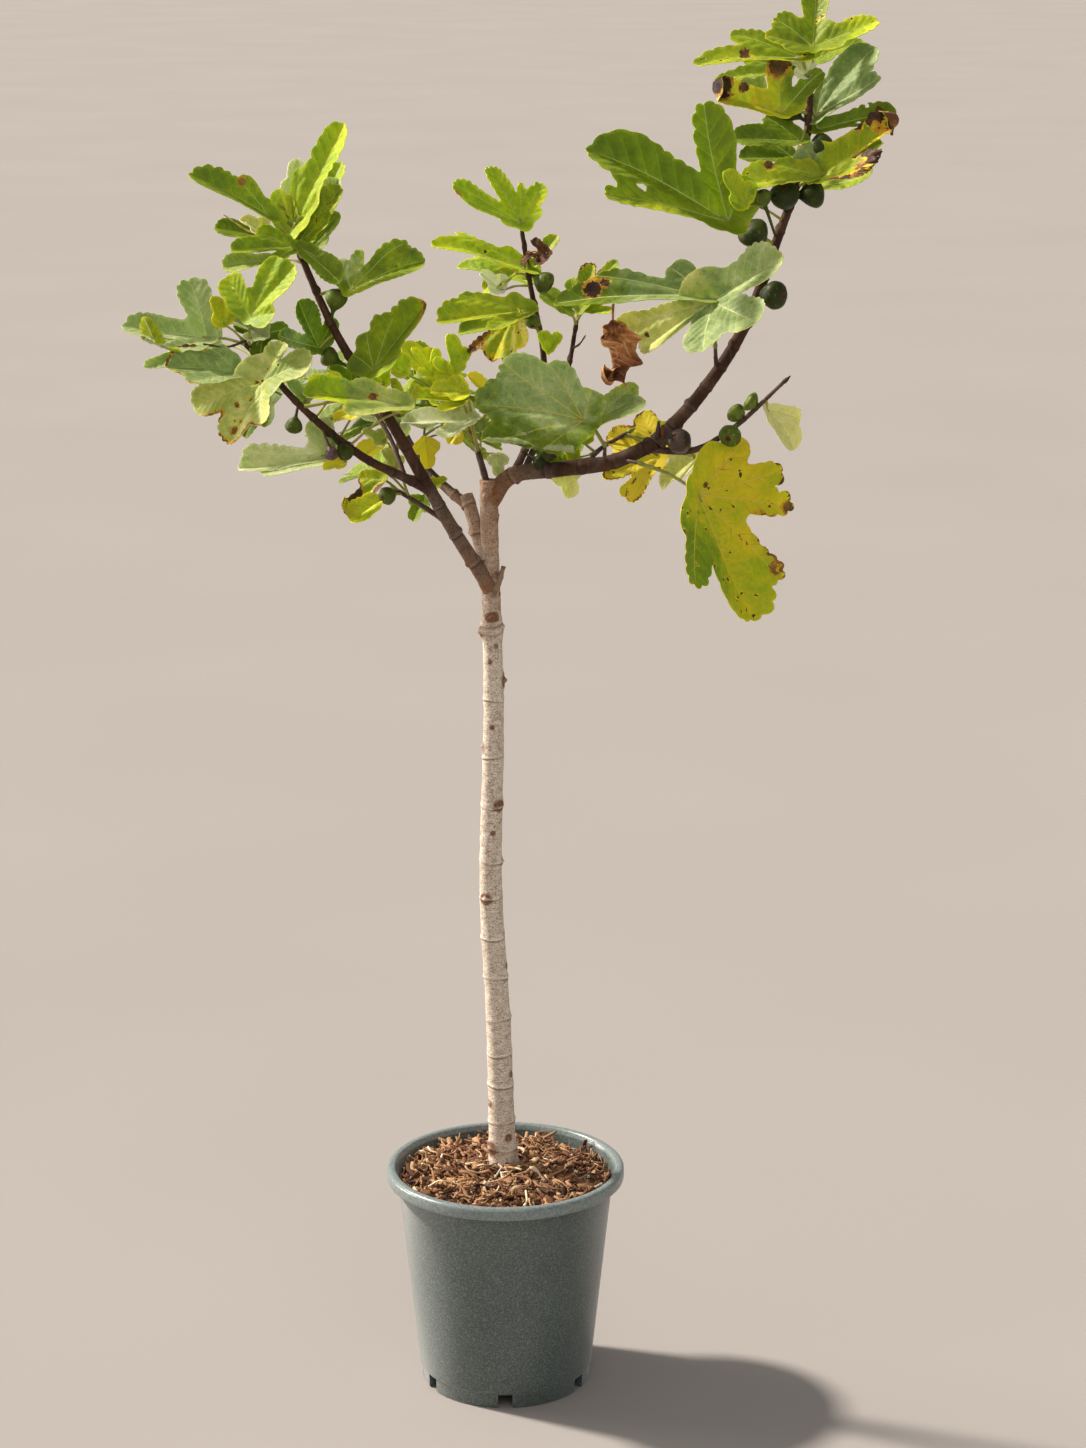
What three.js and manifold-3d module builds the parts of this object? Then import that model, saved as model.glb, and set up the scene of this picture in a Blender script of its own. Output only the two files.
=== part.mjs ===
// A young fig tree in a nursery pot. Millimetres, +Z up, the viewer at -Y.
// The origin is the centre of the pot's underside; heights on the plant are counted from the soil.
import * as THREE from "three";
import { mergeVertices } from "three/addons/utils/BufferGeometryUtils.js";
import Module from "manifold-3d";

const wasm = await Module();
wasm.setup();

// Pot
const potHeight = 265;
const rimRadius = 139;
const rimBand = 15;
const rimInner = 128;
const wallTop = 126;
const wallFoot = 101;
const wallThick = 2.4;
const footHeight = 18;
const footRadius = 98.5;
const floorThick = 20;
const potSides = 36;
const slotCount = 6;
const slotWide = 18;
const slotHigh = 17;
const slotFrom = 58;

// Potting mix
const soilHeight = 250;
const soilRings = 5;
const soilSides = 28;
const soilLump = 3.2;

// Clearances and wood
const gap = 0.3;
const fatten = 0.36;
const barkSides = 10;
const limbSides = 8;
const twigSides = 5;
const stalkRadius = 1.45;

// Leaves and fruit
const leafThick = 0.0135;
const leafThickLeast = 1.6;
const figSides = 6;
const goldenAngle = 137.508;
const twinLeast = 60;
const twinMost = 130;
const twinSize = 0.8;
const twinBack = 95;
const twinFall = 0.26;

const rad = THREE.MathUtils.degToRad;
const vec = (x, y, z) => new THREE.Vector3(x, y, z);
const onPlant = ([x, y, z]) => vec(x, y, z + soilHeight);

// A repeatable stream of numbers from 0 to 1.
function dice(seed) {
  let state = seed >>> 0;
  return () => {
    state = (Math.imul(state, 1664525) + 1013904223) >>> 0;
    return state / 4294967296;
  };
}

// A closed surface from points and triangles.
function surface(points, faces) {
  const geometry = new THREE.BufferGeometry();
  const flat = points.flatMap((p) => [p.x, p.y, p.z]);
  geometry.setAttribute("position", new THREE.Float32BufferAttribute(flat, 3));
  geometry.setIndex(faces);
  return geometry;
}

// A geometry as a solid that can be joined and cut.
function solid(geometry, weld = 1e-4) {
  const bare = geometry.clone();
  bare.deleteAttribute("normal");
  bare.deleteAttribute("uv");
  const merged = mergeVertices(bare, weld);
  const index = merged.index.array;
  const kept = [];
  for (let i = 0; i < index.length; i += 3) {
    const [a, b, c] = [index[i], index[i + 1], index[i + 2]];
    if (a !== b && b !== c && c !== a) kept.push(a, b, c);
  }
  return new wasm.Manifold(
    new wasm.Mesh({
      numProp: 3,
      vertProperties: merged.attributes.position.array,
      triVerts: new Uint32Array(kept),
    }),
  );
}

// The largest body of a solid, so that loose scraps fall away.
function largest(body) {
  const parts = body.decompose();
  return parts.reduce((a, b) => (a.volume() > b.volume() ? a : b));
}

const group = new THREE.Group();
const placed = [];

// A solid's triangles as a geometry.
function geometryOf(body) {
  const mesh = body.getMesh();
  const geometry = new THREE.BufferGeometry();
  geometry.setAttribute("position", new THREE.BufferAttribute(new Float32Array(mesh.vertProperties), 3));
  geometry.setIndex(new THREE.BufferAttribute(new Uint32Array(mesh.triVerts), 1));
  return geometry;
}

// Puts a finished solid into the group as a named mesh, with hollows filled and near points joined.
function place(name, body, colour, roughness = 0.8) {
  const settled = largest(solid(geometryOf(largest(body)), 1e-3));
  const geometry = geometryOf(settled);
  geometry.computeVertexNormals();
  const made = new THREE.Mesh(geometry, new THREE.MeshStandardMaterial({ color: colour, roughness }));
  made.name = name;
  group.add(made);
  placed.push({ name, body: settled });
}

// True if a solid comes within the clearance of another one.
function touches(made, other) {
  const [a, b] = [made.boundingBox(), other.body.boundingBox()];
  const apart = [0, 1, 2].some((i) => a.min[i] > b.max[i] + 1 || a.max[i] < b.min[i] - 1);
  return !apart && made.minGap(other.body, 1) <= gap;
}

// ---- pot ----
const profile = [
  [0, 0],
  [footRadius - 1, 0],
  [footRadius, 1],
  [footRadius + 0.8, footHeight],
  [wallFoot, footHeight + 0.4],
  [wallTop, potHeight - rimBand - 1],
  [wallTop + 1.5, potHeight - rimBand],
  [rimRadius - 1.5, potHeight - rimBand],
  [rimRadius, potHeight - rimBand / 2],
  [rimRadius - 1.5, potHeight - 2.5],
  [rimRadius - 5, potHeight],
  [rimInner, potHeight - 3.5],
  [wallTop - wallThick, potHeight - rimBand - 6],
  [wallFoot - wallThick, floorThick],
  [0, floorThick],
].map(([r, z]) => new THREE.Vector2(r, z));
const potBody = new THREE.LatheGeometry(profile, potSides).rotateX(Math.PI / 2);
let pot = solid(potBody);
if (pot.volume() < 0) throw new Error("the pot's profile runs the wrong way");
for (let i = 0; i < slotCount; i += 1) {
  const length = rimRadius - slotFrom;
  const slot = new THREE.BoxGeometry(slotWide, length, slotHigh + 10);
  slot.translate(0, -slotFrom - length / 2, slotHigh / 2 - 5);
  slot.rotateZ((i * 2 * Math.PI) / slotCount);
  pot = pot.subtract(solid(slot));
}
place("pot", pot, 0x6f7a72, 0.55);

// ---- limbs ----
// A tube along a curve. radiusAt gives its radius at 0 to 1 of the length; both ends are flat.
function tube(curve, from, to, radiusAt, sides, steps, extra = 0) {
  const points = [];
  const faces = [];
  let side = null;
  for (let i = 0; i <= steps; i += 1) {
    const t = from + ((to - from) * i) / steps;
    const along = curve.getTangentAt(Math.min(Math.max(t, 0), 1));
    const middle = curve.getPointAt(Math.min(Math.max(t, 0), 1));
    if (i === 0) middle.addScaledVector(along, -extra);
    if (i === steps) middle.addScaledVector(along, extra);
    if (!side) side = Math.abs(along.x) < 0.8 ? vec(1, 0, 0) : vec(0, 1, 0);
    side = side.clone().addScaledVector(along, -side.dot(along)).normalize();
    const other = along.clone().cross(side);
    for (let k = 0; k < sides; k += 1) {
      const turn = (2 * Math.PI * k) / sides;
      const reach = radiusAt(t, turn) + extra;
      const p = middle.clone().addScaledVector(side, reach * Math.cos(turn));
      points.push(p.addScaledVector(other, reach * Math.sin(turn)));
    }
    if (i > 0) {
      for (let k = 0; k < sides; k += 1) {
        const a = (i - 1) * sides + k;
        const b = (i - 1) * sides + ((k + 1) % sides);
        faces.push(a, b, b + sides, a, b + sides, a + sides);
      }
    }
  }
  const top = steps * sides;
  for (let k = 1; k < sides - 1; k += 1) {
    faces.push(0, k + 1, k);
    faces.push(top, top + k, top + k + 1);
  }
  return surface(points, faces);
}

const curveThrough = (stations) => new THREE.CatmullRomCurve3(stations.map(onPlant), false, "centripetal");

// Trunk: stations of its lean, its taper, the flare at the soil and the ring scars of old leaves.
const trunkCurve = curveThrough([
  [-3, 15, 0],
  [-8, 13, 190],
  [-16, 10, 350],
  [-12, 8, 560],
  [-15, 3, 719],
  [-17, 0, 829],
]);
const trunkFoot = 15.4;
const trunkTop = 9.6;
const flareGain = 3;
const flareReach = 0.03;
const scarGain = 1.3;
const scarWidth = 0.009;
const scarHeights = [33, 65, 110, 150, 192, 244, 293, 341, 384, 451, 509, 576];
const collarHeight = 659;
const collarGain = 2.6;
const trunkLength = 829;
const bump = (t, height, width) => Math.exp(-(((t - height / trunkLength) / width) ** 2));

function trunkRadius(t) {
  const taper = trunkFoot + (trunkTop - trunkFoot) * Math.min(t, 1);
  const flare = flareGain * Math.exp(-t / flareReach);
  const scars = scarHeights.reduce((sum, height) => sum + scarGain * bump(t, height, scarWidth), 0);
  return taper + flare + scars + collarGain * bump(t, collarHeight, 0.014);
}

const trunkSteps = 46;
const trunk = solid(tube(trunkCurve, 0, 1, trunkRadius, barkSides, trunkSteps));
place("trunk", trunk, 0xb9ad9c);
const limbSolids = { trunk: solid(tube(trunkCurve, 0, 1, trunkRadius, barkSides, trunkSteps, fatten)) };

// Each limb: its stations, its radii at foot and tip, and the part of its length that is bare.
const limbs = {
  stub_back: {
    stations: [[-20, 2, 738], [-32, 14, 775], [-42, 30, 806]],
    radii: [8.4, 7.4],
    bare: 1,
    colour: 0xb3a695,
  },
  bough_left: {
    stations: [[-14, 0, 706], [-48, -15, 762], [-88, -30, 836], [-124, -35, 902], [-183, -30, 999],
      [-231, -13, 1106]],
    radii: [8.6, 3.2],
    bare: 0.42,
    colour: 0x55423a,
  },
  bough_left_low: {
    stations: [[-78, -27, 821], [-111, -38, 840], [-152, -50, 863], [-218, -70, 922], [-278, -85, 996]],
    radii: [5.4, 3],
    bare: 0.4,
    colour: 0x55423a,
  },
  bough_back_left: {
    stations: [[-38, 24, 795], [-60, 58, 804], [-98, 116, 832], [-130, 164, 884]],
    radii: [6.2, 3],
    bare: 0.42,
    colour: 0x55423a,
  },
  bough_right: {
    stations: [[-16, 0, 806], [8, 0, 833], [63, -9, 843], [121, -19, 853], [170, -25, 876]],
    radii: [9.4, 8],
    bare: 1,
    colour: 0x6b5648,
  },
  bough_right_rise: {
    stations: [[170, -25, 876], [217, -25, 929], [262, -20, 998], [300, -10, 1098], [327, 0, 1182],
      [335, 10, 1262]],
    radii: [8, 3.4],
    bare: 0.53,
    colour: 0x55423a,
  },
  shoot_centre: {
    stations: [[10, 0, 833], [28, 16, 871], [44, 30, 925], [44, 35, 969], [30, 32, 1042], [20, 30, 1107]],
    radii: [4.4, 2.4],
    bare: 0.36,
    colour: 0x4a3732,
  },
  shoot_centre_right: {
    stations: [[22, 0, 836], [50, 44, 894], [70, 82, 932], [83, 120, 994]],
    radii: [3.8, 2.3],
    bare: 0.55,
    colour: 0x4a3732,
  },
};

// The limb's curve runs on past its bare part; the mass that follows takes over from there.
for (const [name, limb] of Object.entries(limbs)) {
  limb.curve = curveThrough(limb.stations);
  limb.radiusAt = (t) => limb.radii[0] + (limb.radii[1] - limb.radii[0]) * t;
  const length = limb.curve.getLength();
  const steps = Math.max(3, Math.round((length * limb.bare) / 26));
  let body = solid(tube(limb.curve, 0, limb.bare, limb.radiusAt, limbSides, steps));
  for (const fat of Object.values(limbSolids)) body = body.subtract(fat);
  limbSolids[name] = solid(tube(limb.curve, 0, limb.bare, limb.radiusAt, limbSides, steps, fatten));
  place(name, largest(body), limb.colour);
}

// ---- leaves ----
// A lobe is its angle from the midrib, its reach and its half width, as shares of the midrib's length.
// between is how far the blade reaches between lobes, heel how far it reaches behind the stalk.
const leafKinds = {
  five: {
    lobes: [[0, 1, 0.19], [46, 0.86, 0.16], [-46, 0.86, 0.16], [98, 0.58, 0.15], [-98, 0.58, 0.15]],
    between: 0.36,
    heel: 0.16,
  },
  three: { lobes: [[0, 1, 0.23], [54, 0.8, 0.2], [-54, 0.8, 0.2]], between: 0.36, heel: 0.14 },
  oval: { lobes: [[0, 1, 0.36], [50, 0.62, 0.3], [-50, 0.62, 0.3]], between: 0.4, heel: 0.14 },
  husk: { lobes: [[0, 1, 0.2], [30, 0.6, 0.2], [-30, 0.6, 0.2]], between: 0.2, heel: 0.1 },
  upper0: {
    lobes: [[0, 1, 0.19], [-23, 0.59, 0.05], [-51, 0.37, 0.09], [23, 0.36, 0.08]],
    between: 0.22,
    heel: 0.13,
  },
  upper1: { lobes: [[0, 1, 0.22], [20, 0.56, 0.13]], between: 0.14, heel: 0.13 },
  upper2: { lobes: [[0, 1, 0.2], [-59, 0.7, 0.16], [19, 0.58, 0.11]], between: 0.36, heel: 0.13 },
  upper3: { lobes: [[0, 1, 0.27], [-8, 0.34, 0.22]], between: 0.2, heel: 0.13 },
  upper4: { lobes: [[0, 1, 0.32]], between: 0.2, heel: 0.13 },
  upper5: { lobes: [[0, 1, 0.22], [27, 0.62, 0.23], [-47, 0.64, 0.14]], between: 0.3, heel: 0.13 },
  upper6: { lobes: [[0, 1, 0.2]], between: 0.2, heel: 0.13 },
  upper7: {
    lobes: [[0, 1, 0.24], [-19, 0.92, 0.13], [-53, 0.54, 0.11], [-87, 0.44, 0.13]],
    between: 0.3,
    heel: 0.13,
  },
  upper8: {
    lobes: [[0, 1, 0.28], [-16, 0.67, 0.23], [-47, 0.45, 0.16], [-89, 0.3, 0.1], [35, 0.49, 0.21]],
    between: 0.3,
    heel: 0.16,
  },
  upper9: { lobes: [[0, 1, 0.3], [-51, 1.01, 0.22], [55, 0.66, 0.19]], between: 0.34, heel: 0.13 },
  low0: { lobes: [[0, 1, 0.22], [66, 0.74, 0.23], [-39, 1.21, 0.14]], between: 0.33, heel: 0.13 },
  low1: { lobes: [[0, 1, 0.4], [37, 0.52, 0.18], [-34, 0.94, 0.26]], between: 0.3, heel: 0.13 },
  low2: {
    lobes: [[0, 1, 0.32], [45, 1.12, 0.28], [-131, 0.84, 0.33], [172, 0.68, 0.19], [-36, 0.77, 0.21]],
    between: 0.42,
    heel: 0.16,
  },
  low3: {
    lobes: [[0, 1, 0.3], [-74, 0.72, 0.23], [45, 0.46, 0.24], [-17, 0.95, 0.17]],
    between: 0.42,
    heel: 0.13,
  },
  low4: { lobes: [[0, 1, 0.5], [-95, 1.21, 0.41], [145, 0.91, 0.4]], between: 0.3, heel: 0.13 },
  low5: { lobes: [[0, 1, 0.2], [14, 0.55, 0.13], [-30, 0.65, 0.15]], between: 0.2, heel: 0.13 },
  low6: { lobes: [[0, 1, 0.17], [85, 0.43, 0.21], [13, 0.93, 0.09]], between: 0.25, heel: 0.13 },
  under0: { lobes: [[0, 1, 0.5]], between: 0.2, heel: 0.13 },
  under1: { lobes: [[0, 1, 0.21], [47, 0.4, 0.17]], between: 0.25, heel: 0.13 },
  under2: { lobes: [[0, 1, 0.44]], between: 0.2, heel: 0.13 },
  inner0: { lobes: [[0, 1, 0.28], [31, 0.71, 0.2], [-70, 0.89, 0.21]], between: 0.34, heel: 0.13 },
  shoot2: {
    lobes: [[0, 1, 0.19], [-37, 1.15, 0.18], [53, 0.76, 0.15], [29, 0.69, 0.08], [-45, 0.88, 0.13]],
    between: 0.36,
    heel: 0.16,
  },
  shoot3: { lobes: [[0, 1, 0.16], [16, 0.91, 0.05], [17, 0.37, 0.15]], between: 0.16, heel: 0.13 },
  shoot4: { lobes: [[0, 1, 0.25]], between: 0.2, heel: 0.13 },
  shoot5: { lobes: [[0, 1, 0.41]], between: 0.25, heel: 0.13 },
  shoot1: { lobes: [[0, 1, 0.26], [22, 0.79, 0.09], [-47, 0.69, 0.15]], between: 0.28, heel: 0.13 },
  shoot0: {
    lobes: [[0, 1, 0.34], [-59, 0.85, 0.21], [24, 1.22, 0.12], [-32, 0.99, 0.26]],
    between: 0.4,
    heel: 0.13,
  },
  shoot6: { lobes: [[0, 1, 0.44], [50, 1.1, 0.29]], between: 0.3, heel: 0.13 },
  far0: { lobes: [[0, 1, 0.23], [31, 1.26, 0.22], [-34, 0.71, 0.17]], between: 0.34, heel: 0.13 },
  far1: { lobes: [[0, 1, 0.43]], between: 0.22, heel: 0.13 },
  front0: {
    lobes: [
      [0, 1, 0.32], [27, 0.92, 0.19], [50, 0.61, 0.18],
      [95, 0.31, 0.15], [-31, 1.1, 0.19], [-45, 0.92, 0.14],
    ],
    between: 0.3,
    heel: 0.16,
  },
  front1: { lobes: [[0, 1, 0.29], [-13, 1.32, 0.27], [12, 1.29, 0.38]], between: 0.26, heel: 0.13 },
  back0: {
    lobes: [[0, 1, 0.41], [45, 0.89, 0.25], [76, 0.67, 0.21], [-86, 1.26, 0.17], [-58, 1.29, 0.19]],
    between: 0.4,
    heel: 0.16,
  },
  hang0: {
    lobes: [
      [0, 1, 0.26], [-22, 0.87, 0.12], [-59, 0.75, 0.1],
      [-82, 0.66, 0.11], [-114, 0.55, 0.13], [38, 0.73, 0.14],
    ],
    between: 0.4,
    heel: 0.16,
  },
  mid0: {
    lobes: [[0, 1, 0.14], [42, 0.32, 0.13], [67, 0.13, 0.09], [12, 0.78, 0.06]],
    between: 0.1,
    heel: 0.13,
  },
  mid1: {
    lobes: [[0, 1, 0.36], [-161, 1.31, 0.14], [-180, 1.03, 0.2], [101, 0.91, 0.22], [61, 1.01, 0.25]],
    between: 0.4,
    heel: 0.16,
  },
  twig0: { lobes: [[0, 1, 0.42], [-39, 0.76, 0.23]], between: 0.26, heel: 0.13 },
  top0: {
    lobes: [[0, 1, 0.18], [-57, 0.61, 0.23], [69, 0.88, 0.2], [-85, 0.62, 0.13]],
    between: 0.4,
    heel: 0.13,
  },
  top1: { lobes: [[0, 1, 0.25], [28, 0.82, 0.14], [-27, 0.42, 0.07]], between: 0.14, heel: 0.13 },
  top2: { lobes: [[0, 1, 0.17], [17, 0.74, 0.15], [30, 0.5, 0.09]], between: 0.24, heel: 0.13 },
  top3: { lobes: [[0, 1, 0.26], [67, 0.65, 0.18], [113, 0.75, 0.13]], between: 0.32, heel: 0.13 },
  top4: { lobes: [[0, 1, 0.28], [42, 0.63, 0.2]], between: 0.25, heel: 0.13 },
  top5: { lobes: [[0, 1, 0.17]], between: 0.16, heel: 0.13 },
  top6: { lobes: [[0, 1, 0.24], [47, 0.91, 0.21], [-84, 0.33, 0.14]], between: 0.3, heel: 0.13 },
  top7: { lobes: [[0, 1, 0.31], [21, 0.61, 0.15]], between: 0.3, heel: 0.13 },
  top8: {
    lobes: [[0, 1, 0.24], [48, 0.79, 0.15], [-25, 0.9, 0.11], [85, 0.31, 0.09]],
    between: 0.24,
    heel: 0.13,
  },
};

// How far one lobe reaches at an angle off its middle: a wedge with a round end on a narrower strap.
function lobeReach(size, wide, off) {
  const half = lobeHalf(size, wide);
  const wedge = off < half ? size * Math.sqrt(1 - (off / half) ** 2.6) : 0;
  if (off > 88) return wedge;
  const along = (Math.cos(rad(off)) / size) ** 2.4;
  const across = (Math.sin(rad(off)) / (0.7 * wide)) ** 2.4;
  return Math.max(wedge, (along + across) ** (-1 / 2.4) * Math.min(1, (88 - off) / 30));
}

// The angle from a lobe's middle to its side.
function lobeHalf(size, wide) {
  return (Math.atan2(wide, 0.72 * size) * 180) / Math.PI / 0.82;
}

function fullTurn(degrees) {
  return ((((degrees + 180) % 360) + 360) % 360) - 180;
}

// How far the blade reaches at an angle from its midrib, for a midrib of length 1.
function bladeReach(kind, degrees) {
  const middles = kind.lobes.map(([middle]) => middle);
  const past = Math.max(Math.min(...middles) - 25 - degrees, degrees - Math.max(...middles) - 25, 0);
  const back = Math.min(past / 45, 1);
  let reach = kind.between + (kind.heel - kind.between) * back * back * (3 - 2 * back);
  for (const [middle, size, wide] of kind.lobes) {
    reach = Math.max(reach, lobeReach(size, wide, Math.abs(fullTurn(degrees - middle))));
  }
  return reach;
}

// The angles at which a solid blade's edge has its corners; a plain blade has fewer.
function bladeAngles(kind, plain) {
  const angles = [-180];
  for (const [middle, size, wide] of kind.lobes) {
    const shoulder = (plain ? 0.5 : 0.7) * lobeHalf(size, wide);
    angles.push(middle - shoulder, middle + shoulder);
    if (!plain) angles.push(middle);
  }
  const sorted = kind.lobes.map(([middle]) => middle).sort((a, b) => a - b);
  for (let i = 1; i < sorted.length; i += 1) angles.push((sorted[i] + sorted[i - 1]) / 2);
  const last = sorted[sorted.length - 1];
  if (last < 140) angles.push((last + 180) / 2 + 10);
  if (sorted[0] > -140) angles.push((sorted[0] - 180) / 2 - 10);
  const tidy = [...new Set(angles.map((a) => Math.round(fullTurn(a))))].sort((a, b) => a - b);
  return tidy.filter((a, i) => i === 0 || a - tidy[i - 1] > (plain ? 9 : 5));
}

// The height of the blade over its own plane: folded along the midrib, drooping to the edge, waved.
function bladeLift(bend, along, across, size) {
  const far = Math.hypot(along, across) / size;
  const turn = Math.atan2(across, along);
  const wave = bend.wave * size * far * far * Math.sin(3 * turn + bend.phase);
  return Math.abs(across) * Math.tan(bend.fold) - bend.droop * size * far * far + wave;
}

// The frame of a blade: midrib, the way its upper face looks, and the side to the right of both.
function bladeFrame(midrib, rollDegrees) {
  const along = midrib.clone().normalize();
  const skyward = vec(0, -0.6, 0.8);
  const face = skyward.addScaledVector(along, -skyward.dot(along)).normalize();
  face.applyAxisAngle(along, rad(rollDegrees));
  return { along, face, across: along.clone().cross(face) };
}

function bladeSolid(root, midrib, roll, kindName, bend, plain) {
  const kind = leafKinds[kindName];
  const size = midrib.length();
  const frame = bladeFrame(midrib, roll);
  const half = Math.max(leafThickLeast, size * leafThick) / 2 / Math.cos(bend.fold);
  const angles = bladeAngles(kind, plain);
  const points = [];
  const faces = [];
  for (const way of [1, -1]) {
    points.push(root.clone().addScaledVector(frame.face, way * half));
    for (const degrees of angles) {
      const reach = bladeReach(kind, degrees) * size;
      const along = reach * Math.cos(rad(degrees));
      const across = reach * Math.sin(rad(degrees)) * Math.cos(bend.fold);
      const p = root.clone().addScaledVector(frame.along, along).addScaledVector(frame.across, across);
      points.push(p.addScaledVector(frame.face, bladeLift(bend, along, across, size) + way * half));
    }
  }
  const n = angles.length;
  const under = n + 1;
  for (let i = 0; i < n; i += 1) {
    const a = 1 + i;
    const b = 1 + ((i + 1) % n);
    faces.push(0, b, a, under, under + a, under + b);
    faces.push(a, b, under + b, a, under + b, under + a);
  }
  return solid(surface(points, faces));
}

// A stalk from the twig's middle to the blade, sunk into both.
function stalkSolid(from, to, midrib) {
  const middle = from.clone().lerp(to, 0.55);
  middle.z += 0.07 * from.distanceTo(to);
  const end = to.clone().addScaledVector(midrib, 0.05);
  const curve = new THREE.CatmullRomCurve3([from, middle, to, end]);
  return solid(tube(curve, 0, 1, () => stalkRadius, 3, 3));
}

// A fig: a neck at its foot, widest past the middle, flat at the eye.
function figSolid(foot, middle, radius) {
  const axis = middle.clone().sub(foot);
  const reach = axis.length() + radius * 0.95;
  const outline = [
    [0, 0],
    [0.24, 0],
    [0.84, 0.45],
    [1, 0.68],
    [0.72, 0.93],
    [0, 1],
  ].map(([r, s]) => new THREE.Vector2(r * radius, s * reach));
  const lathe = new THREE.LatheGeometry(outline, figSides);
  lathe.applyQuaternion(new THREE.Quaternion().setFromUnitVectors(vec(0, 1, 0), axis.normalize()));
  lathe.translate(foot.x, foot.y, foot.z);
  const made = solid(lathe);
  return made;
}

// ---- masses of leaves ----
// leaf rows: share of the stem, blade's root, midrib, roll, kind. fig rows: share, middle, radius.
// back: how many leaves the seeded rule adds on the far side, and their length.
const masses = {};

function addMass(name, spec) {
  masses[name] = spec;
}

addMass("foliage_left_upper", {
  follows: "bough_left",
  seed: 11,
  leaves: [
    [0.98, [-228, -20, 1110], [56, 10, 115], -4, "upper0"],
    [0.93, [-252, -30, 1124], [-81, -10, 54], -2, "upper1"],
    [0.95, [-222, -25, 1096], [48, -5, 60], 8, "upper2"],
    [0.9, [-218, -45, 1092], [43, -30, -30], 8, "upper3"],
    [0.92, [-268, 26, 1096], [-50, 5, 10], -10, "upper4"],
    [0.88, [-226, -42, 1092], [-65, -24, 5], 2, "upper5"],
    [0.86, [-251, 10, 1072], [-58, 8, -7], -14, "upper6"],
    [0.72, [-164, -40, 1046], [75, -5, 41], 12, "upper7"],
    [0.4, [-141, -45, 959], [56, -10, 78], 8, "upper8"],
    [0.55, [-201, -30, 981], [-22, -5, 54], 10, "upper9"],
  ],
  figs: [
    [0.6, [-181, -36, 1037], 9.5],
    [0.36, [-191, -30, 972], 8.2],
  ],
  back: { count: 0, size: 0 },
});

addMass("foliage_left_low", {
  follows: "bough_left_low",
  seed: 23,
  leaves: [
    [0.97, [-318, -85, 1000], [-90, -10, 18], -10, "low0"],
    [0.9, [-283, -100, 964], [-73, -24, 17], -2, "low1"],
    [0.8, [-257, -120, 958], [-38, -30, -56], 8, "low2"],
    [0.95, [-270, -100, 1025], [47, -5, 58], 8, "low3"],
    [0.7, [-260, -60, 1001], [-30, -5, 15], -10, "low4"],
    [0.42, [-109, -88, 927], [-103, -12, 24], -2, "low5"],
    [0.1, [-193, -58, 867], [-97, -15, -13], -8, "low6"],
  ],
  figs: [
    [0.45, [-228, -62, 900], 7.5],
    [0.2, [-171, -72, 872], 8.2],
    [0.24, [-186, -74, 871], 6.5],
  ],
  back: { count: 0, size: 0 },
});

addMass("foliage_left_side", {
  from: [-109, -30, 840],
  to: [[-125, -6, 877], [-142, 12, 902], [-155, 24, 918]],
  on: "bough_left_low",
  radii: [2.8, 1.9],
  seed: 5,
  leaves: [],
  figs: [],
  back: { count: 4, size: 78 },
});

addMass("foliage_left_under", {
  from: [-54, -12, 777],
  to: [[-90, 10, 797], [-120, 20, 814]],
  on: "bough_left",
  radii: [3.2, 2.4],
  seed: 31,
  leaves: [
    [0.9, [-136, 10, 806], [-36, -10, -23], -2, "under0"],
    [0.95, [-136, 20, 826], [-53, -5, -48], -2, "under1"],
    [0.8, [-131, 20, 870], [-32, 0, -20], -6, "under2"],
  ],
  figs: [[0.98, [-130, 6, 810], 7.8]],
  back: { count: 2, size: 66 },
});

addMass("foliage_back_left", {
  follows: "bough_back_left",
  seed: 47,
  leaves: [
    [0.3, [-92, 84, 792], [-14, -6, -24], 0, "oval"],
  ],
  figs: [],
  back: { count: 6, size: 92 },
});

addMass("foliage_centre_left", {
  from: [-17, 0, 820],
  to: [[-26, 14, 849], [-33, 46, 866], [-46, 98, 910]],
  on: "trunk",
  radii: [4, 2.4],
  seed: 53,
  leaves: [
    [0.95, [-53, 10, 948], [-6, 10, 42], 28, "inner0"],
    [0.9, [-83, 30, 948], [-30, 5, 28], 0, "oval"],
    [0.8, [-52, 20, 918], [-54, 10, 9], 0, "oval"],
    [0.7, [-36, -10, 898], [-78, -10, 0], 10, "three"],
    [0.6, [-88, 30, 869], [4, -5, -32], 0, "oval"],
    [0.5, [-54, 30, 891], [2, -5, -27], 0, "oval"],
    [0.3, [-6, 20, 854], [0, -5, -24], 0, "oval"],
  ],
  figs: [],
  back: { count: 4, size: 80 },
});

addMass("foliage_centre", {
  follows: "shoot_centre",
  seed: 62,
  leaves: [
    [0.35, [14, 10, 1012], [-32, -10, -47], 10, "shoot0"],
    [0.5, [26, 10, 1016], [-99, -15, -1], 0, "shoot1"],
    [0.99, [21, 28, 1110], [-38, 30, 59], 6, "shoot2"],
    [0.8, [27, 28, 1059], [-100, -10, 39], 6, "shoot3"],
    [0.82, [37, 26, 1066], [21, 8, 32], -4, "shoot4"],
    [0.7, [12, 28, 1055], [-36, 5, -17], -12, "shoot5"],
    [0.3, [49, 20, 969], [-7, 5, 24], 18, "shoot6"],
  ],
  figs: [
    [0.72, [46, 22, 1046], 9],
    [0.5, [33, 18, 1003], 6.7],
  ],
  back: { count: 0, size: 0 },
});

addMass("foliage_centre_right", {
  follows: "shoot_centre_right",
  seed: 71,
  leaves: [
    [0.98, [87, 60, 1011], [11, 15, 51], -22, "far0"],
    [0.9, [74, 60, 1006], [-32, 10, 25], -4, "far1"],
    [0.95, [96, 62, 1010], [36, 5, 22], 0, "three"],
  ],
  figs: [],
  back: { count: 0, size: 0 },
});

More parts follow.
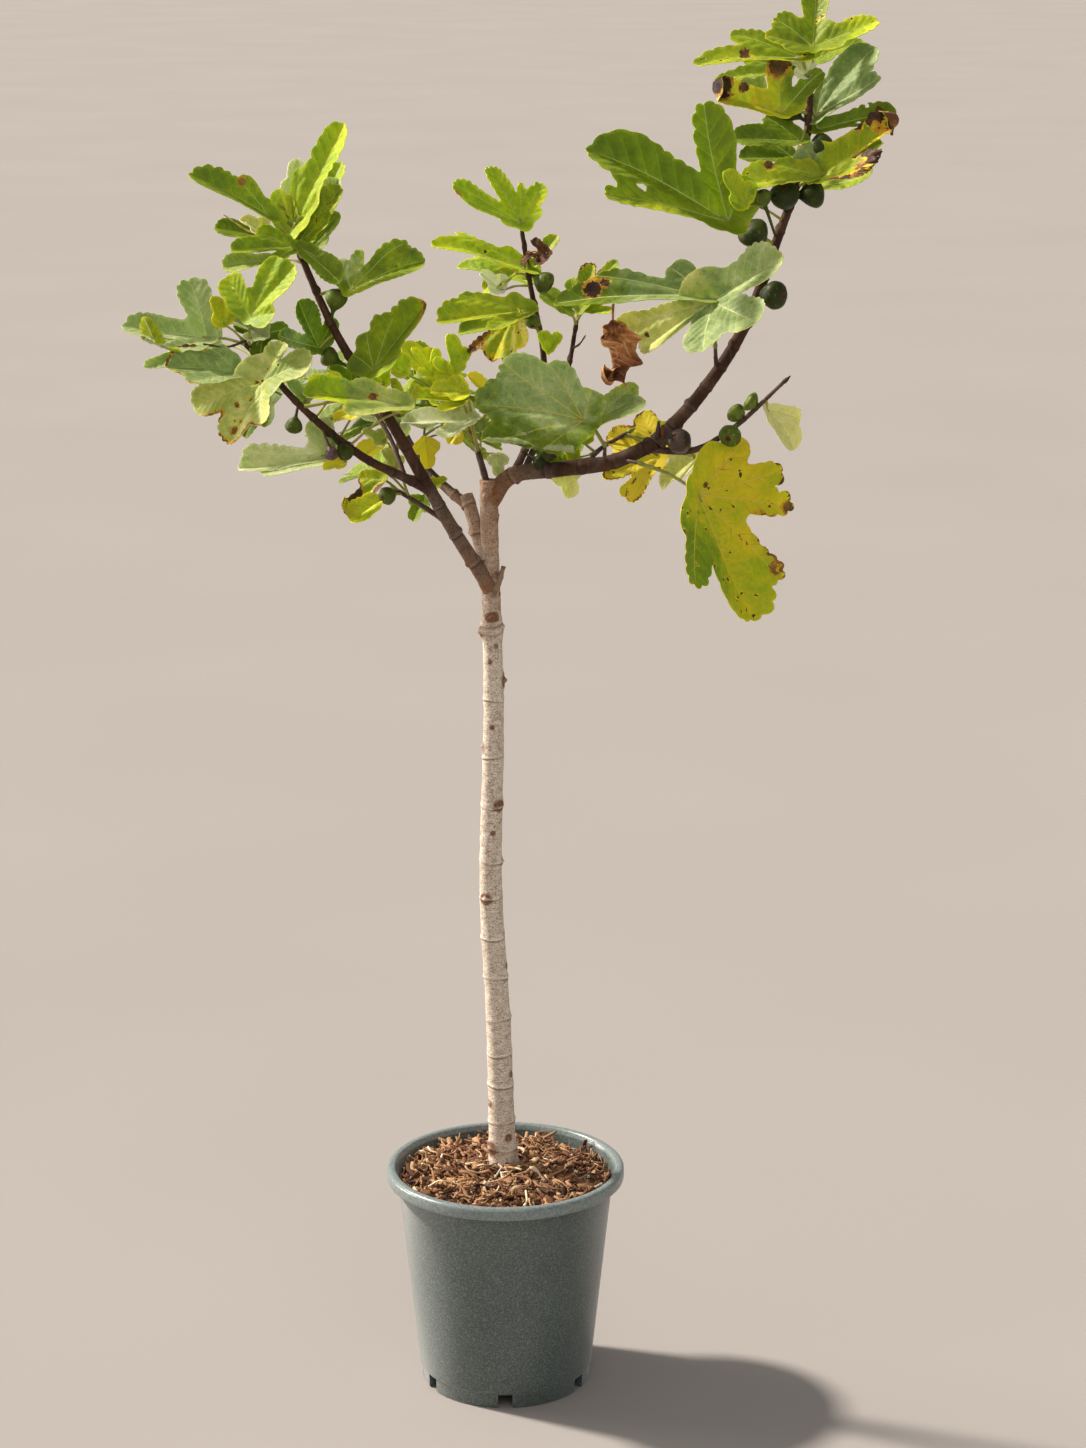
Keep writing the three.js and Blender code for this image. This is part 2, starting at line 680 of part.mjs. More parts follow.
addMass("foliage_right_front", {
  from: [112, -18, 852],
  to: [[112, -46, 876]],
  on: "bough_right",
  radii: [2.2, 1.9],
  seed: 83,
  leaves: [
    [0.98, [88, -70, 908], [-112, -25, 31], -12, "front0"],
    [0.95, [97, -30, 897], [41, -5, 28], 8, "front1"],
  ],
  figs: [],
  back: { count: 0, size: 0 },
});

addMass("foliage_right_hanging", {
  from: [131, -21, 856],
  to: [[150, -44, 856]],
  on: "bough_right",
  radii: [2.2, 1.8],
  seed: 97,
  leaves: [
    [0.98, [213, -80, 828], [61, -20, -137], -12, "hang0"],
  ],
  figs: [],
  back: { count: 0, size: 0 },
});

addMass("foliage_right_back", {
  from: [92, -12, 848],
  to: [[108, 22, 860], [140, 40, 876]],
  on: "bough_right",
  radii: [3, 2.1],
  seed: 105,
  leaves: [
    [0.96, [174, 30, 850], [-58, 10, 26], -6, "back0"],
    [0.4, [63, 40, 833], [-5, 20, 45], 0, "five"],
    [0.9, [216, 46, 846], [-42, 10, -35], 0, "oval"],
  ],
  figs: [],
  back: { count: 0, size: 0 },
});

addMass("foliage_right_middle", {
  from: [234, -23, 958],
  to: [[232, -42, 984]],
  on: "bough_right_rise",
  radii: [2.4, 2],
  seed: 113,
  leaves: [
    [0.98, [220, -50, 1040], [-165, -10, 11], -2, "mid0"],
    [0.98, [227, -60, 1036], [74, -14, 51], 10, "mid1"],
    [[128, -50, 1040], [117, -38, 991], [5, -6, -74], 0, "husk"],
  ],
  figs: [],
  back: { count: 0, size: 0 },
});

addMass("foliage_right_top", {
  follows: "bough_right_rise",
  seed: 127,
  leaves: [
    [1, [336, 5, 1303], [5, 60, 66], 0, "top0"],
    [0.9, [341, 8, 1229], [60, 10, 78], -2, "top1"],
    [0.97, [323, 0, 1291], [-112, -10, 7], 2, "top2"],
    [0.85, [301, -10, 1233], [-87, 10, 31], -12, "top3"],
    [0.8, [324, -5, 1203], [-77, -5, 1], -2, "top4"],
    [0.85, [344, 5, 1215], [84, -10, 19], 12, "top5"],
    [0.5, [344, -20, 1167], [94, -20, 71], 2, "top6"],
    [0.45, [344, -22, 1167], [-87, -5, -2], -2, "top7"],
    [0.12, [244, -40, 1120], [-145, -15, 88], -14, "top8"],
  ],
  figs: [
    [0.3, [306, -24, 1147], 12.5],
    [0.4, [340, -2, 1146], 11.2],
    [0.62, [348, -6, 1198], 12],
    [0.05, [272, -30, 1107], 12.3],
    [0.8, [312, 10, 1235], 9],
    [0.15, [281, -36, 1146], 7.5],
  ],
  back: { count: 0, size: 0 },
});

addMass("foliage_right_twig", {
  from: [158, -23, 868],
  to: [[210, -35, 869], [253, -42, 895], [307, -50, 947]],
  on: "bough_right",
  radii: [4.2, 2],
  seed: 139,
  leaves: [
    [0.85, [289, -48, 916], [34, -10, -39], -4, "twig0"],
  ],
  figs: [
    [0.25, [194, -46, 880], 13],
    [0.62, [248, -70, 891], 9],
    [0.78, [273, -45, 923], 8.4],
    [0.66, [256, -36, 910], 7.8],
  ],
  back: { count: 0, size: 0 },
});

// The stem of each mass: the rest of a limb's curve past its bare part, or a side twig of its own.
for (const spec of Object.values(masses)) {
  const parent = limbs[spec.follows];
  const curve = parent ? parent.curve : curveThrough([spec.from, ...spec.to]);
  const start = parent ? parent.bare + gap / curve.getLength() : 0;
  const sideRadius = (t) => spec.radii[0] + (spec.radii[1] - spec.radii[0]) * t;
  const radiusAt = parent ? parent.radiusAt : sideRadius;
  const length = curve.getLength() * (1 - start);
  const steps = Math.max(2, Math.round(length / 34));
  let stem = solid(tube(curve, start, 1, radiusAt, twigSides, steps));
  for (const [name, fat] of Object.entries(limbSolids)) {
    if (name !== spec.follows) stem = stem.subtract(fat);
  }
  spec.body = largest(stem);
  spec.atShare = (share) => curve.getPointAt(start + (1 - start) * share);
  spec.random = dice(spec.seed);
}

// Fuses a leaf or a fig onto its mass, unless it would touch something else or hang loose.
const skipped = [];
function fuse(spec, made, label) {
  const others = Object.values(masses).filter((mass) => mass !== spec);
  if ([...placed, ...others].some((other) => touches(made, other))) {
    skipped.push(label);
    return;
  }
  const joined = spec.body.add(made);
  const loose = joined.decompose().filter((part) => part.volume() > 0).length > 1;
  if (loose) skipped.push(label);
  else spec.body = joined;
}

function addLeaf(spec, share, root, midrib, roll, kind, bend, label, plain = false) {
  const foot = Array.isArray(share) ? onPlant(share) : spec.atShare(share);
  let leaf = bladeSolid(root, midrib, roll, kind, bend, plain);
  leaf = leaf.add(stalkSolid(foot, root, midrib));
  if (spec.on) leaf = leaf.subtract(limbSolids[spec.on]);
  fuse(spec, largest(leaf), label);
}

function leafBend(random) {
  return {
    fold: rad(12 + 20 * random()),
    droop: 0.02 + 0.12 * random(),
    wave: 0.03 + 0.05 * random(),
    phase: 2 * Math.PI * random(),
  };
}

for (const [name, spec] of Object.entries(masses)) {
  spec.bends = spec.leaves.map(() => leafBend(spec.random));
  spec.leaves.forEach(([share, root, midrib, roll, kind], i) => {
    addLeaf(spec, share, onPlant(root), vec(...midrib), roll, kind, spec.bends[i], name + " leaf " + i);
  });
  spec.figs.forEach(([share, middle, radius], i) => {
    fuse(spec, figSolid(spec.atShare(share), onPlant(middle), radius), name + " fig " + i);
  });
}

// The far side: a smaller twin behind each large leaf, and leaves spiralling round the back twigs.
for (const [name, spec] of Object.entries(masses)) {
  const random = spec.random;
  spec.leaves.forEach(([share, root, midrib, roll, kind], i) => {
    const size = vec(...midrib).length();
    const shift = twinBack * (0.75 + 0.5 * random());
    const lean = 0.4 * size * random();
    if (size < twinLeast || size > twinMost || Array.isArray(share)) return;
    if (i % 2 === spec.seed % 2) return;
    const seat = onPlant(root).add(vec(0, shift, -shift * twinFall));
    const blade = vec(midrib[0], midrib[1] + lean, midrib[2] - lean * twinFall).multiplyScalar(twinSize);
    const from = Math.max(0.04, share - 0.12);
    addLeaf(spec, from, seat, blade, roll, kind, spec.bends[i], name + " twin " + i, true);
  });
  for (let i = 0; i < spec.back.count; i += 1) {
    const share = 0.15 + (0.8 * (i + 0.5)) / spec.back.count;
    const turn = rad(90 + 62 * Math.sin(rad(goldenAngle * i)));
    const out = vec(Math.cos(turn), Math.sin(turn), 0.35 + 0.3 * random());
    const root = spec.atShare(share).addScaledVector(out, 42 + 24 * random());
    const size = spec.back.size * (0.85 + 0.3 * random());
    const midrib = vec(out.x, out.y, 0.1 - 0.6 * random()).setLength(size);
    const kind = i % 4 ? "three" : "five";
    const roll = 20 * random() - 10;
    addLeaf(spec, share, root, midrib, roll, kind, leafBend(random), name + " back " + i, true);
  }
}
for (const [name, spec] of Object.entries(masses)) {
  place(name, largest(spec.body).simplify(0.5), 0x7c9a45);
}

// ---- potting mix ----
// A plug with a lumpy top, highest round the trunk, cut clear of it.
const soilRandom = dice(7);
const soilPoints = [];
const soilFaces = [];
const wallRise = potHeight - rimBand - 6 - floorThick;
const wallAt = (z) => wallFoot - wallThick + ((wallTop - wallFoot) * (z - floorThick)) / wallRise;
const soilBottom = floorThick + gap;
const soilEdge = soilHeight - 5;
soilPoints.push(vec(0, 0, soilBottom));
for (const z of [soilBottom, soilEdge]) {
  for (let k = 0; k < soilSides; k += 1) {
    const turn = (2 * Math.PI * k) / soilSides;
    const reach = Math.min(wallAt(z), wallTop - wallThick) - 1.2;
    soilPoints.push(vec(reach * Math.cos(turn), reach * Math.sin(turn), z));
  }
}
for (let ring = 1; ring < soilRings; ring += 1) {
  for (let k = 0; k < soilSides; k += 1) {
    const turn = (2 * Math.PI * (k + 0.5 * (ring % 2))) / soilSides;
    const share = 1 - ring / soilRings;
    const z = soilEdge + 5 * (1 - share) + soilLump * (2 * soilRandom() - 1);
    soilPoints.push(vec(118 * share * Math.cos(turn), 118 * share * Math.sin(turn), z));
  }
}
soilPoints.push(vec(0, 0, soilHeight));
for (let k = 0; k < soilSides; k += 1) {
  const next = (k + 1) % soilSides;
  soilFaces.push(0, 1 + next, 1 + k);
  for (let ring = 0; ring < soilRings; ring += 1) {
    const a = 1 + ring * soilSides + k;
    const b = 1 + ring * soilSides + next;
    soilFaces.push(a, b, b + soilSides, a, b + soilSides, a + soilSides);
  }
  const last = 1 + soilRings * soilSides;
  soilFaces.push(last + k, last + next, last + soilSides);
}
const soil = solid(surface(soilPoints, soilFaces)).subtract(limbSolids.trunk);
place("potting_mix", largest(soil), 0x7a5436, 0.95);

group.userData.skipped = skipped;

export default group;
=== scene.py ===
import math

import bmesh
import bpy
import numpy as np
from mathutils import Matrix, Vector, noise
from mathutils.geometry import delaunay_2d_cdt


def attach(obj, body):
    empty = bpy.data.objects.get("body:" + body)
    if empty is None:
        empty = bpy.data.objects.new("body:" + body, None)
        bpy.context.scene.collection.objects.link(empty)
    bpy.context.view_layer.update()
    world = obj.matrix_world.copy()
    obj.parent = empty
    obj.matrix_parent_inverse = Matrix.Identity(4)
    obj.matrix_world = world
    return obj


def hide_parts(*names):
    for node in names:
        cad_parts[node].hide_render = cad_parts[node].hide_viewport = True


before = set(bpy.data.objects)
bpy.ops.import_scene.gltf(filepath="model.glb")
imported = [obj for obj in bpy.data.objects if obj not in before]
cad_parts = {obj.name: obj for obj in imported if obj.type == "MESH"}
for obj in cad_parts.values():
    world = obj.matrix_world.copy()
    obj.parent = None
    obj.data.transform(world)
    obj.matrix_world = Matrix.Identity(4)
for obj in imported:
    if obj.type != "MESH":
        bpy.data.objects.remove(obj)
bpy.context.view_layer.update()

print("frame:", len(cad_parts), "solids")

mm = 0.001  # everything below is worked out in millimetres and made small at the end
soilHeight = 250  # heights on the plant are counted from here
curveSteps = 200  # a curve is measured in this many short steps


# colours and nodes

def hexShares(colour):
    return [int(colour[i:i + 2], 16) for i in (1, 3, 5)]


def toLinear(colour):
    shares = [value / 255 for value in hexShares(colour)]
    return [s / 12.92 if s <= 0.04045 else ((s + 0.055) / 1.055) ** 2.4 for s in shares] + [1.0]


def mixHex(first, second, share):
    return "#" + "".join(f"{round(a + (b - a) * share):02x}" for a, b in zip(hexShares(first), hexShares(second)))


# one node with its settings and links; a mix is always one of colours, and a node given as input links its result
def addNode(tree, kind, inputs=None, stops=None, **settings):
    node = tree.nodes.new("ShaderNode" + kind)
    if kind == "Mix":
        node.data_type = "RGBA"
    for name, value in settings.items():
        setattr(node, name, value)
    for i, (place, colour) in enumerate(stops or []):
        ramp = node.color_ramp.elements
        stop = ramp[i] if i < 2 else ramp.new(place)
        stop.position = place
        stop.color = toLinear(colour) if isinstance(colour, str) else (colour, colour, colour, 1)
    for name, value in (inputs or {}).items():
        if isinstance(value, bpy.types.Node):
            value = value.outputs[2 if value.type == "MIX" else 0]
        if isinstance(value, bpy.types.NodeSocket):
            tree.links.new(value, node.inputs[name])
        else:
            node.inputs[name].default_value = value
    return node


def newMaterial(name, **sockets):
    material = bpy.data.materials.new(name)
    material.use_nodes = True
    tree = material.node_tree
    tree.nodes.clear()
    shader = addNode(tree, "BsdfPrincipled", {k.replace("_", " "): v for k, v in sockets.items()})
    addNode(tree, "OutputMaterial", {"Surface": shader})
    return material, tree, shader


# how many times a pattern of this many millimetres repeats in a metre
def perMetre(size):
    return 1 / (size * mm)


# objects

def newObject(name, data):
    made = bpy.data.objects.new(name, data)
    bpy.context.scene.collection.objects.link(made)
    return made


def meshOf(bm, name, materials=()):
    mesh = bpy.data.meshes.new(name)
    bm.to_mesh(mesh)
    bm.free()
    for material in materials:
        mesh.materials.append(material)
    return mesh


def newPiece(name, mesh, node=None):
    piece = newObject(name, mesh)
    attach(piece, "root")
    if node:
        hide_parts(node)
    return piece


# camera: 3.8 m in front of the trunk, a little above the crown, looking down at it
view = {"place": (0.044, -3.8, 1.788), "down": 14.6, "focal": 3462, "tall": 1448, "sensor": 36}

cameraData = bpy.data.cameras.new("camera")
camera = newObject("camera", cameraData)
camera.location = view["place"]
camera.rotation_euler = (math.radians(90 - view["down"]), 0, 0)
cameraData.sensor_fit = "VERTICAL"
cameraData.sensor_height = view["sensor"]
cameraData.lens = view["sensor"] * view["focal"] / view["tall"]
cameraData.clip_end = 200
bpy.context.scene.camera = camera


# random numbers, the same as the solids were grown with
def dice(seed):
    state = [seed]

    def throw():
        state[0] = (state[0] * 1664525 + 1013904223) & 0xFFFFFFFF
        return state[0] / 4294967296

    return throw


# smooth patches between -1 and 1, about one grain apart
def patches(x, y, grain, seed):
    gx, gy = x / grain + 500.3, y / grain + 500.7
    ix, iy = np.floor(gx), np.floor(gy)
    fx, fy = gx - ix, gy - iy
    fx, fy = fx * fx * (3 - 2 * fx), fy * fy * (3 - 2 * fy)

    def corner(a, b):
        h = np.sin(a * 127.1 + b * 311.7 + seed * 74.7) * 43758.5453
        return h - np.floor(h)

    low = corner(ix, iy) * (1 - fx) + corner(ix + 1, iy) * fx
    high = corner(ix, iy + 1) * (1 - fx) + corner(ix + 1, iy + 1) * fx
    return (low * (1 - fy) + high * fy) * 2 - 1


# small sums that come back in every part

def clamp(value, low=0, high=1):
    return min(max(value, low), high)


def hump(gap, wide):
    return math.exp(-(gap / wide) ** 2)


def wrapped(degrees):
    return (degrees + 180) % 360 - 180


def bearing(degrees):
    return np.array([math.cos(math.radians(degrees)), math.sin(math.radians(degrees))])


def awayFrom(x, y, degrees, reach):
    cx, cy = reach * bearing(degrees)
    return np.hypot(x - cx, y - cy)


def squareTo(side, along):
    return (side - along * side.dot(along)).normalized()


def onPlant(place):
    return Vector((place[0], place[1], place[2] + soilHeight))


# curves: centripetal Catmull-Rom through stations, walked by their length

def traced(points):
    points = [Vector(p) for p in points]

    def at(t):
        place = (len(points) - 1) * clamp(t)
        i = min(int(place), len(points) - 2)
        w = place - i
        b, c = points[i], points[i + 1]
        a = points[i - 1] if i > 0 else b * 2 - c
        d = points[i + 2] if i + 2 < len(points) else c * 2 - b
        d1 = (c - b).length ** 0.5
        d0 = (b - a).length ** 0.5 if (b - a).length > 1e-8 else d1
        d2 = (d - c).length ** 0.5 if (d - c).length > 1e-8 else d1
        leave = ((b - a) / d0 - (c - a) / (d0 + d1) + (c - b) / d1) * d1
        reach = ((c - b) / d1 - (d - b) / (d1 + d2) + (d - c) / d2) * d1
        bend = -3 * b + 3 * c - 2 * leave - reach
        close = 2 * b - 2 * c + leave + reach
        return b + leave * w + bend * w * w + close * w ** 3

    spots = [at(i / curveSteps) for i in range(curveSteps + 1)]
    gaps = [(after - before).length for before, after in zip(spots, spots[1:])]
    runs = np.concatenate([[0], np.cumsum(gaps)])
    return {"at": at, "runs": runs, "length": float(runs[-1])}


def onCurve(curve, share, ahead=0):
    t = np.interp(share * curve["length"], curve["runs"], np.linspace(0, 1, curveSteps + 1))
    return curve["at"](float(t) + ahead)


def alongCurve(curve, share):
    return (onCurve(curve, share, 0.002) - onCurve(curve, share, -0.002)).normalized()


def throughStations(stations):
    return traced([onPlant(place) for place in stations])


# plain tones, each a material of its own: living leaf from shade green to burnt brown
ladders = {
    "green": (2, ["#36450c", "#46560e", "#556710", "#647612", "#738612", "#869712", "#9ba714", "#b8b418",
                  "#cfbb1c", "#bf8f2a", "#99682f", "#6a4228", "#45291b", "#2d1b15"]),
    "sage": (2, ["#435828", "#566837", "#6b7e46", "#829356", "#99a869", "#afb981", "#c6ca9b", "#dadfbd"]),
    "bloom": (1, ["#3a4c18", "#4c5d22", "#5f702b", "#728233", "#85943c", "#99a548"]),
    # lit is a painted glow: the bright lime of a blade with light shining through it, used as skin and in washes
    "lit": (2, ["#7c9612", "#97ac16", "#b3c11c", "#cccf24", "#dcd233", "#e3c93c"]),
    "pale": (2, ["#6f8436", "#879a45", "#9faa55", "#b6ba68", "#cccb80", "#dfdb98"]),
    "dead": (2, ["#2a150d", "#4b2916", "#703f20", "#965c30", "#bd8350", "#dba976"]),
    "stalk": (2, ["#5d6a2c", "#7c8638", "#9c9c48", "#b6a455", "#8c5f45"]),
    "twig": (2, ["#241718", "#33221f", "#463029", "#5d4538", "#7a6350", "#a0876c"]),
    "fruit": (2, ["#20280b", "#303a0e", "#445114", "#5b6c20", "#7c8a36", "#a0aa58"]),
    "ripe": (1, ["#2e2116", "#48362b", "#5f474b"]),
    "vein": (1, ["#7f8f45", "#97a555", "#adb86b", "#c6cb8c", "#cdbb52", "#7b5c2e"]),
    "mulch": (2, ["#22130b", "#43261a", "#6d452d", "#8f6848", "#b48a62", "#d8b88e", "#f0dcb8"]),
    "grey": (1, ["#7c7268", "#a59b8e", "#cfc8ba"]),
}
living = ("green", "sage", "bloom", "pale", "lit")
skinRoughness = {"dead": 0.75, "twig": 0.6, "fruit": 0.5, "ripe": 0.45, "stalk": 0.5, "mulch": 0.85, "grey": 0.85}
tones = []  # (ladder, colour) for each tone
ladderStart = {}
for ladder, (perStep, anchors) in ladders.items():
    ladderStart[ladder] = len(tones)
    for i in range((len(anchors) - 1) * perStep + 1):
        low = min(i // perStep, len(anchors) - 2)
        tones.append((ladder, mixHex(anchors[low], anchors[low + 1], i / perStep - low)))
toneMaterials = {}
livingTones = np.array([i for i, (ladder, _) in enumerate(tones) if ladder in living])
toneShares = np.array([hexShares(colour) for _, colour in tones], float)


# the tone number at a value on a ladder
def toneAt(ladder, value):
    perStep, anchors = ladders[ladder]
    step = np.clip(np.round(np.asarray(value) * perStep), 0, (len(anchors) - 1) * perStep)
    return (ladderStart[ladder] + step).astype(int)


# the living tones nearest to a mix of two others, so that one colour runs softly into the next
def blendTones(first, second, share):
    mixed = toneShares[first] + (toneShares[second] - toneShares[first]) * share[:, None]
    gaps = ((mixed[:, None, :] - toneShares[livingTones]) ** 2).sum(2)
    return np.where(share <= 0, first, np.where(share >= 1, second, livingTones[gaps.argmin(1)]))


# leaf skin is waxy but downy, so it is half matt with a faint soft sheen, and some light soaks through the blade
def toneMaterial(number):
    if number not in toneMaterials:
        ladder, colour = tones[number]
        downy = ladder in living or ladder == "vein"
        toneMaterials[number] = newMaterial(
            f"{ladder}Skin{number - ladderStart[ladder]:02d}",
            Base_Color=toLinear(colour),
            Roughness=skinRoughness.get(ladder, 0.52),
            Specular_IOR_Level=0.2 if downy or ladder == "fruit" else 0.4,
            Sheen_Weight=0.03 if downy else 0.0,
            Sheen_Roughness=0.5,
            Subsurface_Weight=0.7 if downy else 0.0,
            Subsurface_Radius=(1.0, 1.25, 0.3),
            Subsurface_Scale=0.002,
        )[0]
    return toneMaterials[number]


# a heap gathers many small closed shapes for one piece

def newHeap():
    return {"points": [], "faces": [], "tones": [], "creases": [], "count": 0}


def addShape(heap, points, faces, faceTones, creases=None):
    heap["points"].append(np.asarray(points, float))
    heap["faces"].append(np.asarray(faces) + heap["count"])
    heap["tones"].append(np.broadcast_to(np.asarray(faceTones, int), len(faces)))
    if creases is not None:
        heap["creases"].append(np.asarray(creases) + heap["count"])
    heap["count"] += len(points)


# one number for each edge, the same from both sides
def edgeKey(pairs):
    pairs = np.sort(pairs, 1).astype(np.int64)
    return pairs[:, 0] * 10 ** 7 + pairs[:, 1]


def buildHeap(heap, name, node=None):
    faces = np.concatenate(heap["faces"])
    mesh = bpy.data.meshes.new(name)
    mesh.from_pydata((np.concatenate(heap["points"]) * mm).tolist(), [], faces.tolist())
    used, index = np.unique(np.concatenate(heap["tones"]), return_inverse=True)
    for number in used:
        mesh.materials.append(toneMaterial(int(number)))
    mesh.polygons.foreach_set("material_index", index.astype(np.int32))
    mesh.polygons.foreach_set("use_smooth", np.ones(len(faces), bool))
    if heap["creases"]:
        edges = np.zeros(len(mesh.edges) * 2, np.int32)
        mesh.edges.foreach_get("vertices", edges)
        sharp = np.isin(edgeKey(edges.reshape(-1, 2)), edgeKey(np.concatenate(heap["creases"])))
        mesh.attributes.new("sharp_edge", "BOOLEAN", "EDGE").data.foreach_set("value", sharp)
    mesh.update()
    newPiece(name, mesh, node)


# rings of points round a line, the bands of faces between them, and the caps that close them

def roundTurns(sides):
    return 2 * math.pi * np.arange(sides) / sides


def ringPoints(middle, side, other, reach, turns):
    return np.array(middle) + np.outer(reach * np.cos(turns), side) + np.outer(reach * np.sin(turns), other)


def bandFaces(rings, sides, first=0):
    k = np.arange(sides)
    n = (k + 1) % sides
    faces = []
    for a in range(first, first + (rings - 1) * sides, sides):
        faces += [np.stack([a + k, a + n, a + n + sides], 1), np.stack([a + k, a + n + sides, a + k + sides], 1)]
    return faces


def capFaces(tip, first, sides, far=False):
    k = first + np.arange(sides)
    n = first + (np.arange(sides) + 1) % sides
    return np.stack([np.full(sides, tip), k, n] if far else [np.full(sides, tip), n, k], 1)


def headings(points):
    points = [Vector(p) for p in points]
    return [(p, (points[min(i + 1, len(points) - 1)] - points[max(i - 1, 0)]).normalized())
            for i, p in enumerate(points)]


# a tube along points, closed at both ends
def tubeShape(points, radii, sides):
    rings = []
    side = None
    for radius, (p, along) in zip(radii, headings(points)):
        side = squareTo(along.orthogonal() if side is None else side, along)
        rings.append(ringPoints(p, side, along.cross(side), radius, roundTurns(sides)))
    count = len(rings) * sides
    faces = bandFaces(len(rings), sides)
    faces += [capFaces(count, 0, sides), capFaces(count + 1, count - sides, sides, True)]
    return np.vstack(rings + [np.array(points[0])[None], np.array(points[-1])[None]]), np.vstack(faces)


